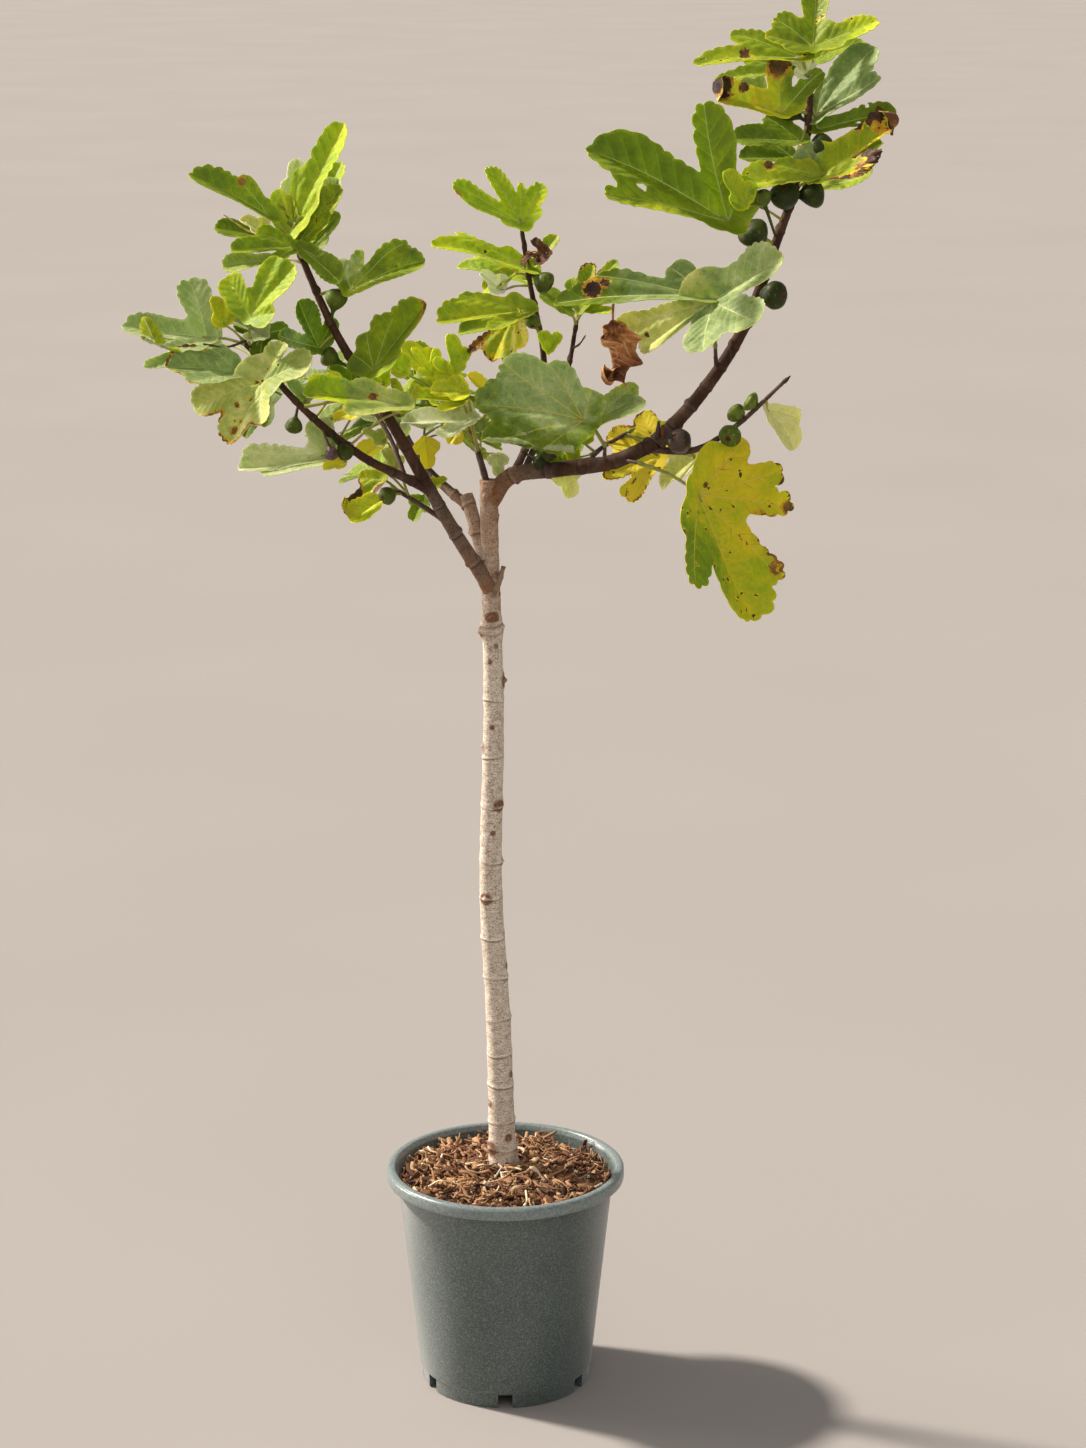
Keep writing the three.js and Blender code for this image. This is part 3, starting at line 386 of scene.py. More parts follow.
# the blades: each kind has its reach between the lobes and behind them, as shares of the midrib, and its lobes
# as angle, share of the midrib and half width
leafKinds = {
    "five": (0.36, 0.16, (0, 1, 0.19), (46, 0.86, 0.16), (-46, 0.86, 0.16), (98, 0.58, 0.15), (-98, 0.58, 0.15)),
    "three": (0.36, 0.14, (0, 1, 0.23), (54, 0.8, 0.2), (-54, 0.8, 0.2)),
    "oval": (0.4, 0.14, (0, 1, 0.36), (50, 0.62, 0.3), (-50, 0.62, 0.3)),
    "husk": (0.3, 0.1, (0, 1, 0.26), (34, 0.76, 0.26), (-36, 0.7, 0.26)),
    "upper0": (0.22, 0.13, (0, 1, 0.19), (-23, 0.59, 0.05), (-51, 0.37, 0.09), (23, 0.36, 0.08)),
    "upper1": (0.14, 0.13, (0, 1, 0.22), (20, 0.56, 0.13)),
    "upper2": (0.36, 0.13, (0, 1, 0.2), (-59, 0.7, 0.16), (19, 0.58, 0.11)),
    "upper3": (0.2, 0.13, (0, 1, 0.27), (-8, 0.34, 0.22)),
    "upper4": (0.2, 0.13, (0, 1, 0.32)),
    "upper5": (0.3, 0.13, (0, 1, 0.22), (27, 0.62, 0.23), (-47, 0.64, 0.14)),
    "upper6": (0.2, 0.13, (0, 1, 0.2)),
    "upper7": (0.3, 0.13, (0, 1, 0.24), (-19, 0.92, 0.13), (-53, 0.54, 0.11), (-87, 0.44, 0.13)),
    "upper8": (0.3, 0.16, (0, 1, 0.28), (-16, 0.67, 0.23), (-47, 0.45, 0.16), (-89, 0.3, 0.1), (35, 0.49, 0.21)),
    "upper9": (0.34, 0.13, (0, 1, 0.3), (-51, 1.01, 0.22), (55, 0.66, 0.19)),
    "low0": (0.33, 0.13, (0, 1, 0.22), (66, 0.74, 0.23), (-39, 1.21, 0.14)),
    "low1": (0.3, 0.13, (0, 1, 0.4), (37, 0.52, 0.18), (-34, 0.94, 0.26)),
    "low2": (0.42, 0.16, (0, 1, 0.32), (45, 1.12, 0.28), (-131, 0.84, 0.33), (172, 0.68, 0.19), (-36, 0.77, 0.21)),
    "low3": (0.42, 0.13, (0, 1, 0.3), (-74, 0.72, 0.23), (45, 0.46, 0.24), (-17, 0.95, 0.17)),
    "low4": (0.3, 0.13, (0, 1, 0.5), (-95, 1.21, 0.41), (145, 0.91, 0.4)),
    "low5": (0.2, 0.13, (0, 1, 0.2), (14, 0.55, 0.13), (-30, 0.65, 0.15)),
    "low6": (0.25, 0.13, (0, 1, 0.17), (85, 0.43, 0.21), (13, 0.93, 0.09)),
    "under0": (0.2, 0.13, (0, 1, 0.5)),
    "under1": (0.25, 0.13, (0, 1, 0.21), (47, 0.4, 0.17)),
    "under2": (0.2, 0.13, (0, 1, 0.44)),
    "inner0": (0.34, 0.13, (0, 1, 0.28), (31, 0.71, 0.2), (-70, 0.89, 0.21)),
    "shoot2": (0.36, 0.16, (0, 1, 0.19), (-37, 1.15, 0.18), (53, 0.76, 0.15), (29, 0.69, 0.08), (-45, 0.88, 0.13)),
    "shoot3": (0.16, 0.13, (0, 1, 0.16), (16, 0.91, 0.05), (17, 0.37, 0.15)),
    "shoot4": (0.2, 0.13, (0, 1, 0.25)),
    "shoot5": (0.25, 0.13, (0, 1, 0.41)),
    "shoot1": (0.28, 0.13, (0, 1, 0.26), (22, 0.79, 0.09), (-47, 0.69, 0.15)),
    "shoot0": (0.4, 0.13, (0, 1, 0.34), (-59, 0.85, 0.21), (24, 1.22, 0.12), (-32, 0.99, 0.26)),
    "shoot6": (0.3, 0.13, (0, 1, 0.44), (50, 1.1, 0.29)),
    "far0": (0.34, 0.13, (0, 1, 0.23), (31, 1.26, 0.22), (-34, 0.71, 0.17)),
    "far1": (0.22, 0.13, (0, 1, 0.43)),
    "front0": (0.3, 0.16, (0, 1, 0.32), (27, 0.92, 0.19), (50, 0.61, 0.18), (95, 0.31, 0.15), (-31, 1.1, 0.23),
               (-52, 0.98, 0.27)),
    "front1": (0.26, 0.13, (0, 1, 0.29), (-13, 1.32, 0.27), (12, 1.29, 0.38)),
    "back0": (0.4, 0.16, (0, 1, 0.41), (45, 0.89, 0.25), (76, 0.67, 0.21), (-86, 1.26, 0.17), (-58, 1.29, 0.19)),
    "hang0": (0.4, 0.16, (0, 1, 0.26), (-22, 0.87, 0.12), (-59, 0.75, 0.1), (-82, 0.66, 0.11), (-114, 0.55, 0.13),
              (38, 0.73, 0.14)),
    "mid0": (0.1, 0.13, (0, 1, 0.14), (42, 0.32, 0.13), (67, 0.13, 0.09), (12, 0.78, 0.06)),
    "mid1": (0.4, 0.16, (0, 1, 0.36), (-161, 1.31, 0.16), (-180, 1.03, 0.22), (108, 0.87, 0.34), (63, 0.98, 0.34)),
    "twig0": (0.26, 0.13, (0, 1, 0.42), (-39, 0.76, 0.23)),
    "top0": (0.4, 0.13, (0, 1, 0.18), (-57, 0.61, 0.23), (69, 0.88, 0.2), (-85, 0.62, 0.13)),
    "top1": (0.14, 0.13, (0, 1, 0.25), (28, 0.82, 0.14), (-27, 0.42, 0.07)),
    "top2": (0.24, 0.13, (0, 1, 0.13), (25, 0.73, 0.12), (42, 0.42, 0.1)),
    "top3": (0.32, 0.13, (0, 1, 0.26), (67, 0.65, 0.18), (113, 0.75, 0.13)),
    "top4": (0.25, 0.13, (0, 1, 0.28), (42, 0.63, 0.2)),
    "top5": (0.16, 0.13, (0, 1, 0.17)),
    "top6": (0.3, 0.13, (0, 1, 0.24), (47, 0.91, 0.21), (-84, 0.33, 0.14)),
    "top7": (0.3, 0.13, (0, 1, 0.31), (21, 0.61, 0.15)),
    "top8": (0.24, 0.13, (0, 1, 0.24), (48, 0.79, 0.15), (-25, 0.9, 0.11), (85, 0.31, 0.09)),
}
leafShape = {
    "thick": 0.7,          # mm, a fig leaf is leathery
    "fill": (2.1, 3.2, 0.031),  # mm between the blade's points: least, most and share of the midrib
    "toothGap": 0.105,     # of the midrib's length
    "toothRise": 0.034,
    "ripple": 0.034,
    "pillow": 0.05,        # the blade stands this far up between its main veins
    "quilt": 0.011,        # and this far between the side veins
    "mainVein": 0.0075,    # half width at the stalk
    "sideVein": 0.0028,
    "veinRise": 0.007,     # how far the veins stand out underneath
}


# how far the blade reaches from its foot at each angle, as a share of the midrib
def bladeReach(kindName, degrees):
    between, heel, *lobes = leafKinds[kindName]
    middles = [lobe[0] for lobe in lobes]
    past = np.maximum(min(middles) - 25 - degrees, degrees - max(middles) - 25)
    back = np.clip(past / 45, 0, 1)
    reach = between + (heel - between) * back * back * (3 - 2 * back)
    for middle, size, wide in lobes:
        off = np.abs(wrapped(degrees - middle))
        half = math.degrees(math.atan2(wide, 0.72 * size)) / 0.82
        wedge = size * np.sqrt(np.clip(1 - (off / half) ** 2.6, 0, None))
        t = np.radians(np.minimum(off, 88))
        strap = ((np.cos(t) / size) ** 2.4 + (np.sin(t) / (0.7 * wide)) ** 2.4) ** (-1 / 2.4)
        reach = np.maximum(reach, np.maximum(wedge, strap * np.clip((88 - off) / 30, 0, 1)))
    return reach


# points at even steps along a line
def evenly(line, step, closed=False):
    path = np.vstack([line, line[:1]]) if closed else line
    run = np.concatenate([[0], np.cumsum(np.hypot(*np.diff(path, axis=0).T))])
    count = max(4, int(round(run[-1] / step)))
    at = np.linspace(0, run[-1], count + 1)[: count if closed else count + 1]
    return np.column_stack([np.interp(at, run, path[:, k]) for k in (0, 1)])


def bladeOutline(kindName, size, seed, step):
    degrees = np.arange(-180, 180, 0.5)
    reach = bladeReach(kindName, degrees)
    soft = 16  # the notches between lobes are rounded over this many half degrees
    weights = np.exp(-(np.arange(-soft, soft + 1) / 6.5) ** 2)
    reach = np.convolve(np.concatenate([reach[-soft:], reach, reach[:soft]]), weights / weights.sum(), "valid")
    turn = np.radians(degrees)
    line = evenly(np.column_stack([reach * np.cos(turn), reach * np.sin(turn)]) * size, 1.0, True)
    ahead, behind = np.roll(line, -3, 0), np.roll(line, 3, 0)
    outward = np.column_stack([ahead[:, 1] - behind[:, 1], behind[:, 0] - ahead[:, 0]])
    outward /= np.hypot(*outward.T)[:, None] + 1e-9
    run = np.arange(len(line))
    gap = max(6.5, size * leafShape["toothGap"])
    phase = run / gap + 0.35 * np.sin(run / (gap * 2.3) + seed) + 0.2 * np.sin(run / (gap * 1.1) + 2 * seed)
    strength = np.clip((np.hypot(*line.T) / size - 0.32) / 0.3, 0.1, 1)
    tooth = np.abs(np.sin(np.pi * phase)) ** 0.65 - 0.55
    uneven = 0.75 + 0.45 * np.sin(run / (gap * 1.9) + 3 * seed)
    push = size * leafShape["toothRise"] * tooth * strength * uneven
    push += size * leafShape["ripple"] * patches(line[:, 0], line[:, 1], size * 0.3, seed + 5) * strength
    return evenly(line + outward * push[:, None], step, True)


# a main vein for each lobe, with side veins left and right of it that end short of the margin
def bladeVeins(kindName, size, seed):
    lobes = leafKinds[kindName][2:]
    middles = [lobe[0] for lobe in lobes]
    veins = []
    for middle, share, _ in lobes:
        length = share * size * 0.96
        bow = 2.5 * math.sin(seed * 3 + middle)
        s = np.linspace(2.5, length, max(5, int(length / 7)))
        angle = np.radians(middle + bow * np.sin(np.pi * s / length))
        line = np.column_stack([s * np.cos(angle), s * np.sin(angle)])
        foot = size * leafShape["mainVein"] * (1 if middle == 0 else 0.8)
        veins.append({"line": line, "half": foot + (0.32 - foot) * (s / length) ** 0.8, "main": True})
        spread = 0.105 * size
        start = spread * 1.3
        side = 1
        while start < length * 0.93:
            heading = middle + side * (54 - 14 * start / length)
            path = [bearing(middle) * start]
            for _ in range(40):
                p = path[-1] + bearing(heading) * size * 0.03
                heading -= side * 0.8
                degrees = math.degrees(math.atan2(p[1], p[0]))
                if math.hypot(*p) > 0.93 * size * float(bladeReach(kindName, np.array(degrees))):
                    break
                if min(middles, key=lambda m: abs(m - degrees)) != middle:
                    break
                path.append(p)
            if len(path) > 3:
                half = np.linspace(size * leafShape["sideVein"], 0.16, len(path))
                veins.append({"line": np.array(path), "half": half, "main": False})
            side = -side
            start += spread * 0.52
    return veins


def insideLoop(points, loop):
    x, y = points[:, 0][:, None], points[:, 1][:, None]
    x1, y1 = loop[:, 0], loop[:, 1]
    x2, y2 = np.roll(loop, -1, 0).T
    crosses = (y1 > y) != (y2 > y)
    at = (x2 - x1) * (y - y1) / (y2 - y1 + 1e-12) + x1
    return (crosses & (x < at)).sum(1) % 2 == 1


# how far points are from the nearest main vein and from any vein, and whether they lie on one
def nearVeins(points, veins):
    main = np.full(len(points), 1e3)
    nearestVein = np.full(len(points), 1e3)
    on = np.zeros(len(points), int)
    for vein in veins:
        a, b = vein["line"][:-1], vein["line"][1:]
        d = b - a
        ap = points[:, None, :] - a
        t = np.clip((ap * d).sum(2) / (d * d).sum(1), 0, 1)
        gap = np.hypot(*np.moveaxis(ap - t[..., None] * d, 2, 0))
        near = gap.min(1)
        nearestVein = np.minimum(nearestVein, near)
        if vein["main"]:
            main = np.minimum(main, near)
        hit = (gap < vein["half"][:-1]).any(1)
        on = np.where(hit, 2 if vein["main"] else np.maximum(on, 1), on)
    return main, nearestVein, on


def nearest(points, others):
    best = np.full(len(points), 1e9)
    for i in range(0, len(others), 200):
        best = np.minimum(best, ((points[:, None, :] - others[i:i + 200]) ** 2).sum(2).min(1))
    return np.sqrt(best)


# flat triangles of a blade: its outline, holes and veins are edges, with an even fill between
def flatBlade(outline, veins, holes, step):
    corners, edges = [], []

    def addLine(line, closed):
        first = sum(len(c) for c in corners)
        corners.append(line)
        n = len(line)
        edges.extend((first + i, first + (i + 1) % n) for i in range(n if closed else n - 1))

    for loop in [outline, *holes]:
        addLine(loop, True)
    for vein in veins:
        line = vein["line"]
        d = np.gradient(line, axis=0)
        d /= np.hypot(*d.T)[:, None]
        normal = np.column_stack([-d[:, 1], d[:, 0]])
        for way in (-1, 0, 1) if vein["main"] else (-1, 1):
            addLine(line + way * normal * vein["half"][:, None], False)
    low, high = outline.min(0), outline.max(0)
    rows = np.arange(low[1], high[1], step * 0.87)
    grid = [(x + (j % 2) * step / 2, y) for j, y in enumerate(rows) for x in np.arange(low[0], high[0], step)]
    grid = np.array(grid)
    grid += (patches(grid[:, 0], grid[:, 1], 1.3, 9) * step * 0.18)[:, None]
    fixed = np.vstack(corners)
    grid = grid[insideLoop(grid, outline)]
    grid = grid[nearest(grid, fixed) > step * 0.55]
    made = delaunay_2d_cdt([Vector(p) for p in np.vstack([fixed, grid])], edges, [], 1, 1e-3, False)
    points = np.array([tuple(p) for p in made[0]])
    faces = np.array([f for f in made[2] if len(f) == 3])
    middle = points[faces].mean(1)
    keep = insideLoop(middle, outline)
    for hole in holes:
        keep &= ~insideLoop(middle, hole)
    used, faces = np.unique(faces[keep], return_inverse=True)
    return points[used], faces.reshape(-1, 3)


# the blade's frame: midrib, the way its upper face looks, and the side to the right of both
def bladeFrame(midrib, roll):
    along = midrib.normalized()
    face = squareTo(Vector((0, -0.6, 0.8)), along)
    face.rotate(Matrix.Rotation(math.radians(roll), 3, along))
    return along, face, along.cross(face)


# the flat blade folds along its midrib, droops and waves; it swells between its veins and rolls up at its ends
def bladeRelief(x, y, size, bend, veins, marks, seed):
    across = y * math.cos(bend["fold"])
    far = np.hypot(x, across) / size
    turn = np.arctan2(across, x)
    crease = 0.025 * size
    crumple = marks.get("crumple", 0)
    lift = (np.sqrt(across ** 2 + crease ** 2) - crease) * math.tan(bend["fold"])
    lift -= bend["droop"] * size * far * far
    lift += bend["wave"] * size * far * far * np.sin(3 * turn + bend["phase"])
    lift += 0.014 * size * far ** 3 * np.sin(10 * turn + 2 * bend["phase"])
    lift += (0.03 + crumple) * size * far * patches(x, y, size * 0.35, seed + 3)
    lift += 0.5 * crumple * size * patches(x, y, size * 0.13, seed + 8)
    main, veinGap, _ = nearVeins(np.column_stack([x, y]), veins)
    lift += leafShape["pillow"] * size * (1 - np.exp(-(main / (0.13 * size)) ** 2))
    lift += leafShape["quilt"] * size * (1 - np.exp(-(veinGap / (0.022 * size)) ** 2))
    for degrees, start, radius, most in marks.get("rolls", []):
        ex, ey = bearing(degrees)
        radius, way = abs(radius), math.copysign(1, radius)
        over = np.clip(x * ex + across * ey - start * size, 0, None)
        angle = np.minimum(over / radius, math.radians(most))
        rest = over - radius * angle
        shift = radius * np.sin(angle) + rest * np.cos(angle) - over - way * lift * np.sin(angle)
        rise = radius * (1 - np.cos(angle)) + rest * np.sin(angle)
        x = x + shift * ex
        across = across + shift * ey
        lift = lift * np.cos(angle) + way * rise
    return x, across, lift


# one tone for each face: the leaf's own green, patchy, paler by the veins, then its marks, which are
# glow (lighter to the margin: painted light shining through the thin edge) and turn (lighter to one side), wash (in
# lit tones a painted glow), spots, patch and edge (brown)
def dealTones(points, faces, outline, veins, size, skin, marks, seed):
    middle = points[faces].mean(1)
    x, y = middle[:, 0], middle[:, 1]
    main, veinGap, on = nearVeins(middle, veins)
    ladder, base, spread = skin
    value = base + spread * (1.15 * patches(x, y, size * 0.24, seed) + 0.75 * patches(x, y, size * 0.07, seed + 1))
    value += 0.45 * np.exp(-veinGap / 1.0) + 0.5 * np.exp(-main / 3.5) + 0.4 * patches(x, y, 2.6, seed + 7) - 0.1
    margin = nearest(middle, outline)
    # painted glow of light shining through the thin margin
    value += marks.get("glow", 1.6) * np.exp(-(margin / 2) ** 2)
    for degrees, amount in marks.get("turn", []):
        ex, ey = bearing(degrees)
        green = np.exp(-veinGap / 2.2) * (amount > 0)
        value += amount * np.clip((x * ex + y * ey) / size, -0.4, 1) * (1 - 0.45 * green)
    rough = patches(x, y, size * 0.07, seed + 2)
    fine = patches(x, y, 4, seed + 4)
    tone = toneAt(ladder, value)
    sideTone = toneAt(ladder, value + 1.5)
    for degrees, share, wide, other, level in marks.get("wash", []):
        gap = awayFrom(x, y, degrees, share * size) / size
        inside = (wide - gap - 0.25 * wide * rough - 0.12 * wide * fine) / (0.6 * wide) + 0.5
        tone = blendTones(tone, toneAt(other, level + value - base), inside)
        sideTone = blendTones(sideTone, toneAt(other, level + value - base + 1.2), inside)
    tone = np.where(on == 2, toneAt("vein", marks.get("veins", 2)), tone)
    tone = np.where(on == 1, sideTone, tone)
    throw = dice(seed * 7 + 3)
    for count, radius in marks.get("spots", []):
        for _ in range(count):
            spot = middle[int(throw() * len(middle))]
            wide = radius * (0.5 + throw())
            gap = np.hypot(x - spot[0], y - spot[1]) + 0.5 * fine
            tone = np.where((gap < wide * 1.7) & (gap >= wide), toneAt("green", 7.4), tone)
            tone = np.where(gap < wide, toneAt("green", 11 + 2 * throw()), tone)
    for degrees, share, wide, level in marks.get("patch", []):
        gap = awayFrom(x, y, degrees, share * size) / size + 0.35 * wide * rough + 0.15 * wide * fine
        tone = np.where((gap < wide * 1.25) & (gap >= wide), toneAt("green", 9.3 + 0.6 * fine), tone)
        tone = np.where(gap < wide, toneAt("green", level + 0.8 * rough), tone)
    broken = patches(x, y, size * 0.15, seed + 6)
    for degrees, half, depth, level in marks.get("edge", []):
        off = np.abs(wrapped(np.degrees(np.arctan2(y, x)) - degrees)) / half
        deep = depth * (1 - off ** 2) * (0.75 + 1.3 * broken + 0.5 * rough)
        tone = np.where((off < 1) & (margin < deep * 1.6), toneAt("green", 8.6 + 0.8 * fine), tone)
        tone = np.where((off < 1) & (margin < deep), toneAt("green", level + 0.8 * rough), tone)
    return tone


def growLeaf(heap, root, midrib, roll, kindName, bend, skin, marks, seed):
    size = midrib.length
    least, most, share = leafShape["fill"]
    step = clamp(size * share, least, most)
    outline = bladeOutline(kindName, size, seed, step * 0.8)
    holes = []
    for degrees, share, wide in marks.get("holes", []):
        turns = roundTurns(8)
        ring = wide * size * (1 + 0.25 * np.sin(3 * turns + seed))
        holes.append(share * size * bearing(degrees)
                     + np.column_stack([ring * np.cos(turns) * 1.3, ring * np.sin(turns)]))
    veins = bladeVeins(kindName, size, seed)
    points, faces = flatBlade(outline, veins, holes, step)
    a, b, c = points[faces[:, 0]], points[faces[:, 1]], points[faces[:, 2]]
    area = (b[:, 0] - a[:, 0]) * (c[:, 1] - a[:, 1]) - (b[:, 1] - a[:, 1]) * (c[:, 0] - a[:, 0])
    faces[area > 0] = faces[area > 0][:, ::-1]
    top = dealTones(points, faces, outline, veins, size, skin, marks, seed)
    below = marks.get("below", ("sage", 4.2, 0.4))
    under = dealTones(points, faces, outline, veins, size, below, {**marks, "veins": 3}, seed)
    x, across, lift = bladeRelief(points[:, 0], points[:, 1], size, bend, veins, marks, seed)
    along, face, side = bladeFrame(midrib, roll)
    place = np.array(root) + np.outer(x, along) + np.outer(across, side) + np.outer(lift, face)
    crossed = np.cross(place[faces[:, 1]] - place[faces[:, 0]], place[faces[:, 2]] - place[faces[:, 0]])
    normal = np.zeros_like(place)
    for k in range(3):
        np.add.at(normal, faces[:, k], crossed)
    normal /= np.linalg.norm(normal, axis=1)[:, None] + 1e-12
    far = np.hypot(points[:, 0], points[:, 1]) / size
    onVein = nearVeins(points, [{**v, "half": v["half"] * 0.5} for v in veins if v["main"]])[2] == 2
    rise = leafShape["veinRise"] * size * np.clip(1 - far, 0.15, 1)
    upper = place + normal * (leafShape["thick"] / 2 + 0.25 * rise * onVein)[:, None]
    lower = place - normal * (leafShape["thick"] / 2 + rise * onVein)[:, None]
    count = len(points)
    pairs = np.vstack([faces[:, [0, 1]], faces[:, [1, 2]], faces[:, [2, 0]]])
    _, first, times = np.unique(edgeKey(pairs), return_index=True, return_counts=True)
    rim = pairs[first[times == 1]]
    ra, rb = rim[:, 0], rim[:, 1]
    strip = np.vstack([np.stack([rb, ra, ra + count], 1), np.stack([rb, ra + count, rb + count], 1)])
    # the edge strip is 1.6 steps paler than the skin: a painted highlight along the blade's thickness
    shade = np.concatenate([top, under, np.full(len(strip), toneAt(skin[0], skin[1] + 1.6))])
    addShape(heap, np.vstack([upper, lower]), np.vstack([faces, faces[:, ::-1] + count, strip]), shade,
             np.vstack([rim, rim + count]))


# stalks: width in the middle of a long leaf's, and tone
stalkShape = {"width": 1.7, "level": 1.9, "dryLevel": 3.6, "sides": 7}


# a stalk from the twig's middle to the blade, thickest where it leaves the wood
def growStalk(heap, foot, root, midrib, width, level):
    middle = foot.lerp(root, 0.55)
    middle.z += 0.07 * (root - foot).length
    curve = traced([foot, middle, root, root + midrib * 0.06])
    steps = max(7, int(curve["length"] / 6))
    shares = [i / steps for i in range(steps + 1)]
    radii = [width * (1.25 - 0.35 * min(s * 3, 1) - 0.5 * max(0, s - 0.8)) for s in shares]
    shape, faces = tubeShape([onCurve(curve, s) for s in shares], radii, stalkShape["sides"])
    wander = patches(np.arange(len(faces)) / 14, foot.x, 2.5, 1)
    addShape(heap, shape, faces, toneAt("stalk", level + 0.5 * wander))


# figs: a neck, widest past the middle, faint ribs and a sunk eye
figShape = {
    "sides": 20, "ribs": 0.018,
    "neck": [(0, 0.14), (0.35, 0.15), (0.8, 0.17), (1, 0.24)],  # share of the neck, share of the radius
    "body": [(0.12, 0.44), (0.25, 0.66), (0.38, 0.83), (0.5, 0.94), (0.62, 1), (0.73, 0.98), (0.83, 0.87),
             (0.9, 0.71), (0.95, 0.5), (0.985, 0.27), (0.985, 0.13), (0.965, 0.07)],
}


def growFig(heap, foot, middle, radius, ladder, level, seed):
    axis = (middle - foot).normalized()
    reach = (middle - foot).length + radius * 0.95
    neck = max(reach - 2.5 * radius, 0.15 * radius) / reach
    side = axis.orthogonal()
    outline = [(neck * s, w) for s, w in figShape["neck"]]
    outline += [(neck + (1 - neck) * s, w) for s, w in figShape["body"]]
    sides = figShape["sides"]
    turns = roundTurns(sides)
    points = [np.array(foot)[None]]
    for s, w in outline:
        ring = w * radius * (1 + figShape["ribs"] * np.sin(7 * turns + seed) * (w > 0.4))
        points.append(ringPoints(foot + axis * (s * reach), side, axis.cross(side), ring, turns))
    points = np.vstack(points + [np.array(foot + axis * (0.955 * reach))[None]])
    count = len(outline)
    last = 1 + (count - 1) * sides
    faces = np.vstack([capFaces(0, 1, sides), *bandFaces(count, sides, 1), capFaces(last + sides, last, sides, True)])
    band = np.concatenate([np.zeros(sides), np.repeat(np.arange(count - 1), 2 * sides), np.full(sides, count)])
    middles = points[faces].mean(1)
    value = level + 0.5 * patches(middles[:, 0], middles[:, 2], radius * 0.8, seed) - 0.6 * (band < 4)
    fleck = patches(middles[:, 0] * 3, middles[:, 2] * 3, 2.2, seed + 1) > 0.75
    tone = toneAt(ladder, value + 1.2 * fleck)
    eye = toneAt("dead", 0.4 + 0.8 * (band == count - 3))
    addShape(heap, points, faces, np.where(band >= count - 3, eye, tone))


# wood: the trunk and boughs share one bark, pale and ringed when old, dark and smooth when young
trunkShape = {
    "stations": [(-3, 15, 0), (-8, 13, 190), (-16, 10, 350), (-12, 8, 560), (-15, 3, 719), (-17, 0, 829)],
    "radii": (15.4, 9.6),
    "flare": (3, 0.03),         # how far its foot widens, and over what share of its length
    "scars": [33, 65, 110, 150, 192, 244, 293, 341, 384, 451, 509, 576],
    "scarRise": (1.3, 0.009),   # rise, and share of the length
    "collar": (659, 2.6, 0.014),  # height, rise, share of the length
    "length": 829,
    "mean": 12,                 # the radius that its marks are measured on
    "young": (620, 560),        # its bark turns young from this height, over this length
    # height, degrees round from the right, half height, half width, rise, darkness
    "knots": [(33, 215, 7, 6, 2.2, 0.9), (12, -18, 16, 7, 3.4, 0.35), (47, 300, 4, 3, 1.2, 0.8),
              (88, 205, 4, 4, 1, 0.7), (124, 330, 3, 3, 0.8, 0.8), (192, 20, 4, 4, 1.6, 0.4),
              (256, 350, 4, 3, 1.1, 0.7), (341, 243, 6, 6, 2.6, 0.8), (384, 352, 4, 4, 1.4, 0.5),
              (420, 280, 2.5, 2.5, 0.6, 0.9), (452, 312, 6, 6, 3.2, 0.9), (520, 190, 6, 5, 2.6, 0.5),
              (545, 262, 2.5, 2.5, 0.6, 0.9), (598, 350, 8, 5, 3.8, 0.8), (622, 250, 2.5, 2.5, 0.5, 0.9),
              (640, 292, 2.5, 2.5, 0.5, 0.9), (655, 195, 5, 5, 2.6, 0.6), (674, 272, 5, 7, 2, 1),
              (690, 300, 12, 8, 2.4, 0.2), (700, 335, 2.5, 2.5, 0.8, 0.9), (716, 300, 9, 7, 3, 0.5),
              (790, 330, 8, 6, 2.6, 0.3), (812, 250, 9, 7, 2.4, 0.2)],
}
boughShapes = {
    "stub_back": {"stations": [(-20, 2, 738), (-32, 14, 775), (-42, 30, 806)],
                  "radii": (8.4, 7.4), "age": (0.2, 0.3), "whole": True},
    "bough_left": {"stations": [(-14, 0, 706), (-48, -15, 762), (-88, -30, 836), (-124, -35, 902), (-183, -30, 999),
                                (-231, -13, 1106)], "radii": (8.6, 3.2), "bare": 0.42, "age": (0.62, 1.1)},
    "bough_left_low": {"stations": [(-78, -27, 821), (-111, -38, 840), (-152, -50, 863), (-218, -70, 922),
                                    (-278, -85, 996)], "radii": (5.4, 3), "bare": 0.4, "age": (0.95, 1.1)},
    "bough_back_left": {"stations": [(-38, 24, 795), (-60, 58, 804), (-98, 116, 832), (-130, 164, 884)],
                        "radii": (6.2, 3), "bare": 0.42, "age": (0.55, 1)},
    "bough_right": {"stations": [(-16, 0, 806), (8, 0, 833), (63, -9, 843), (121, -19, 853), (170, -25, 876)],
                    "radii": (9.4, 8), "age": (0.5, 1), "whole": True},
    "bough_right_rise": {"stations": [(170, -25, 876), (217, -25, 929), (262, -20, 998), (300, -10, 1098),
                                      (327, 0, 1182), (335, 10, 1262)],
                         "radii": (8, 3.4), "bare": 0.53, "age": (0.95, 1.1)},
    "shoot_centre": {"stations": [(10, 0, 833), (28, 16, 871), (44, 30, 925), (44, 35, 969), (30, 32, 1042),
                                  (20, 30, 1107)], "radii": (4.4, 2.4), "bare": 0.36, "age": (0.8, 1)},
    "shoot_centre_right": {"stations": [(22, 0, 836), (50, 44, 894), (70, 82, 932), (83, 120, 994)],
                           "radii": (3.8, 2.3), "bare": 0.55, "age": (0.85, 1)},
}


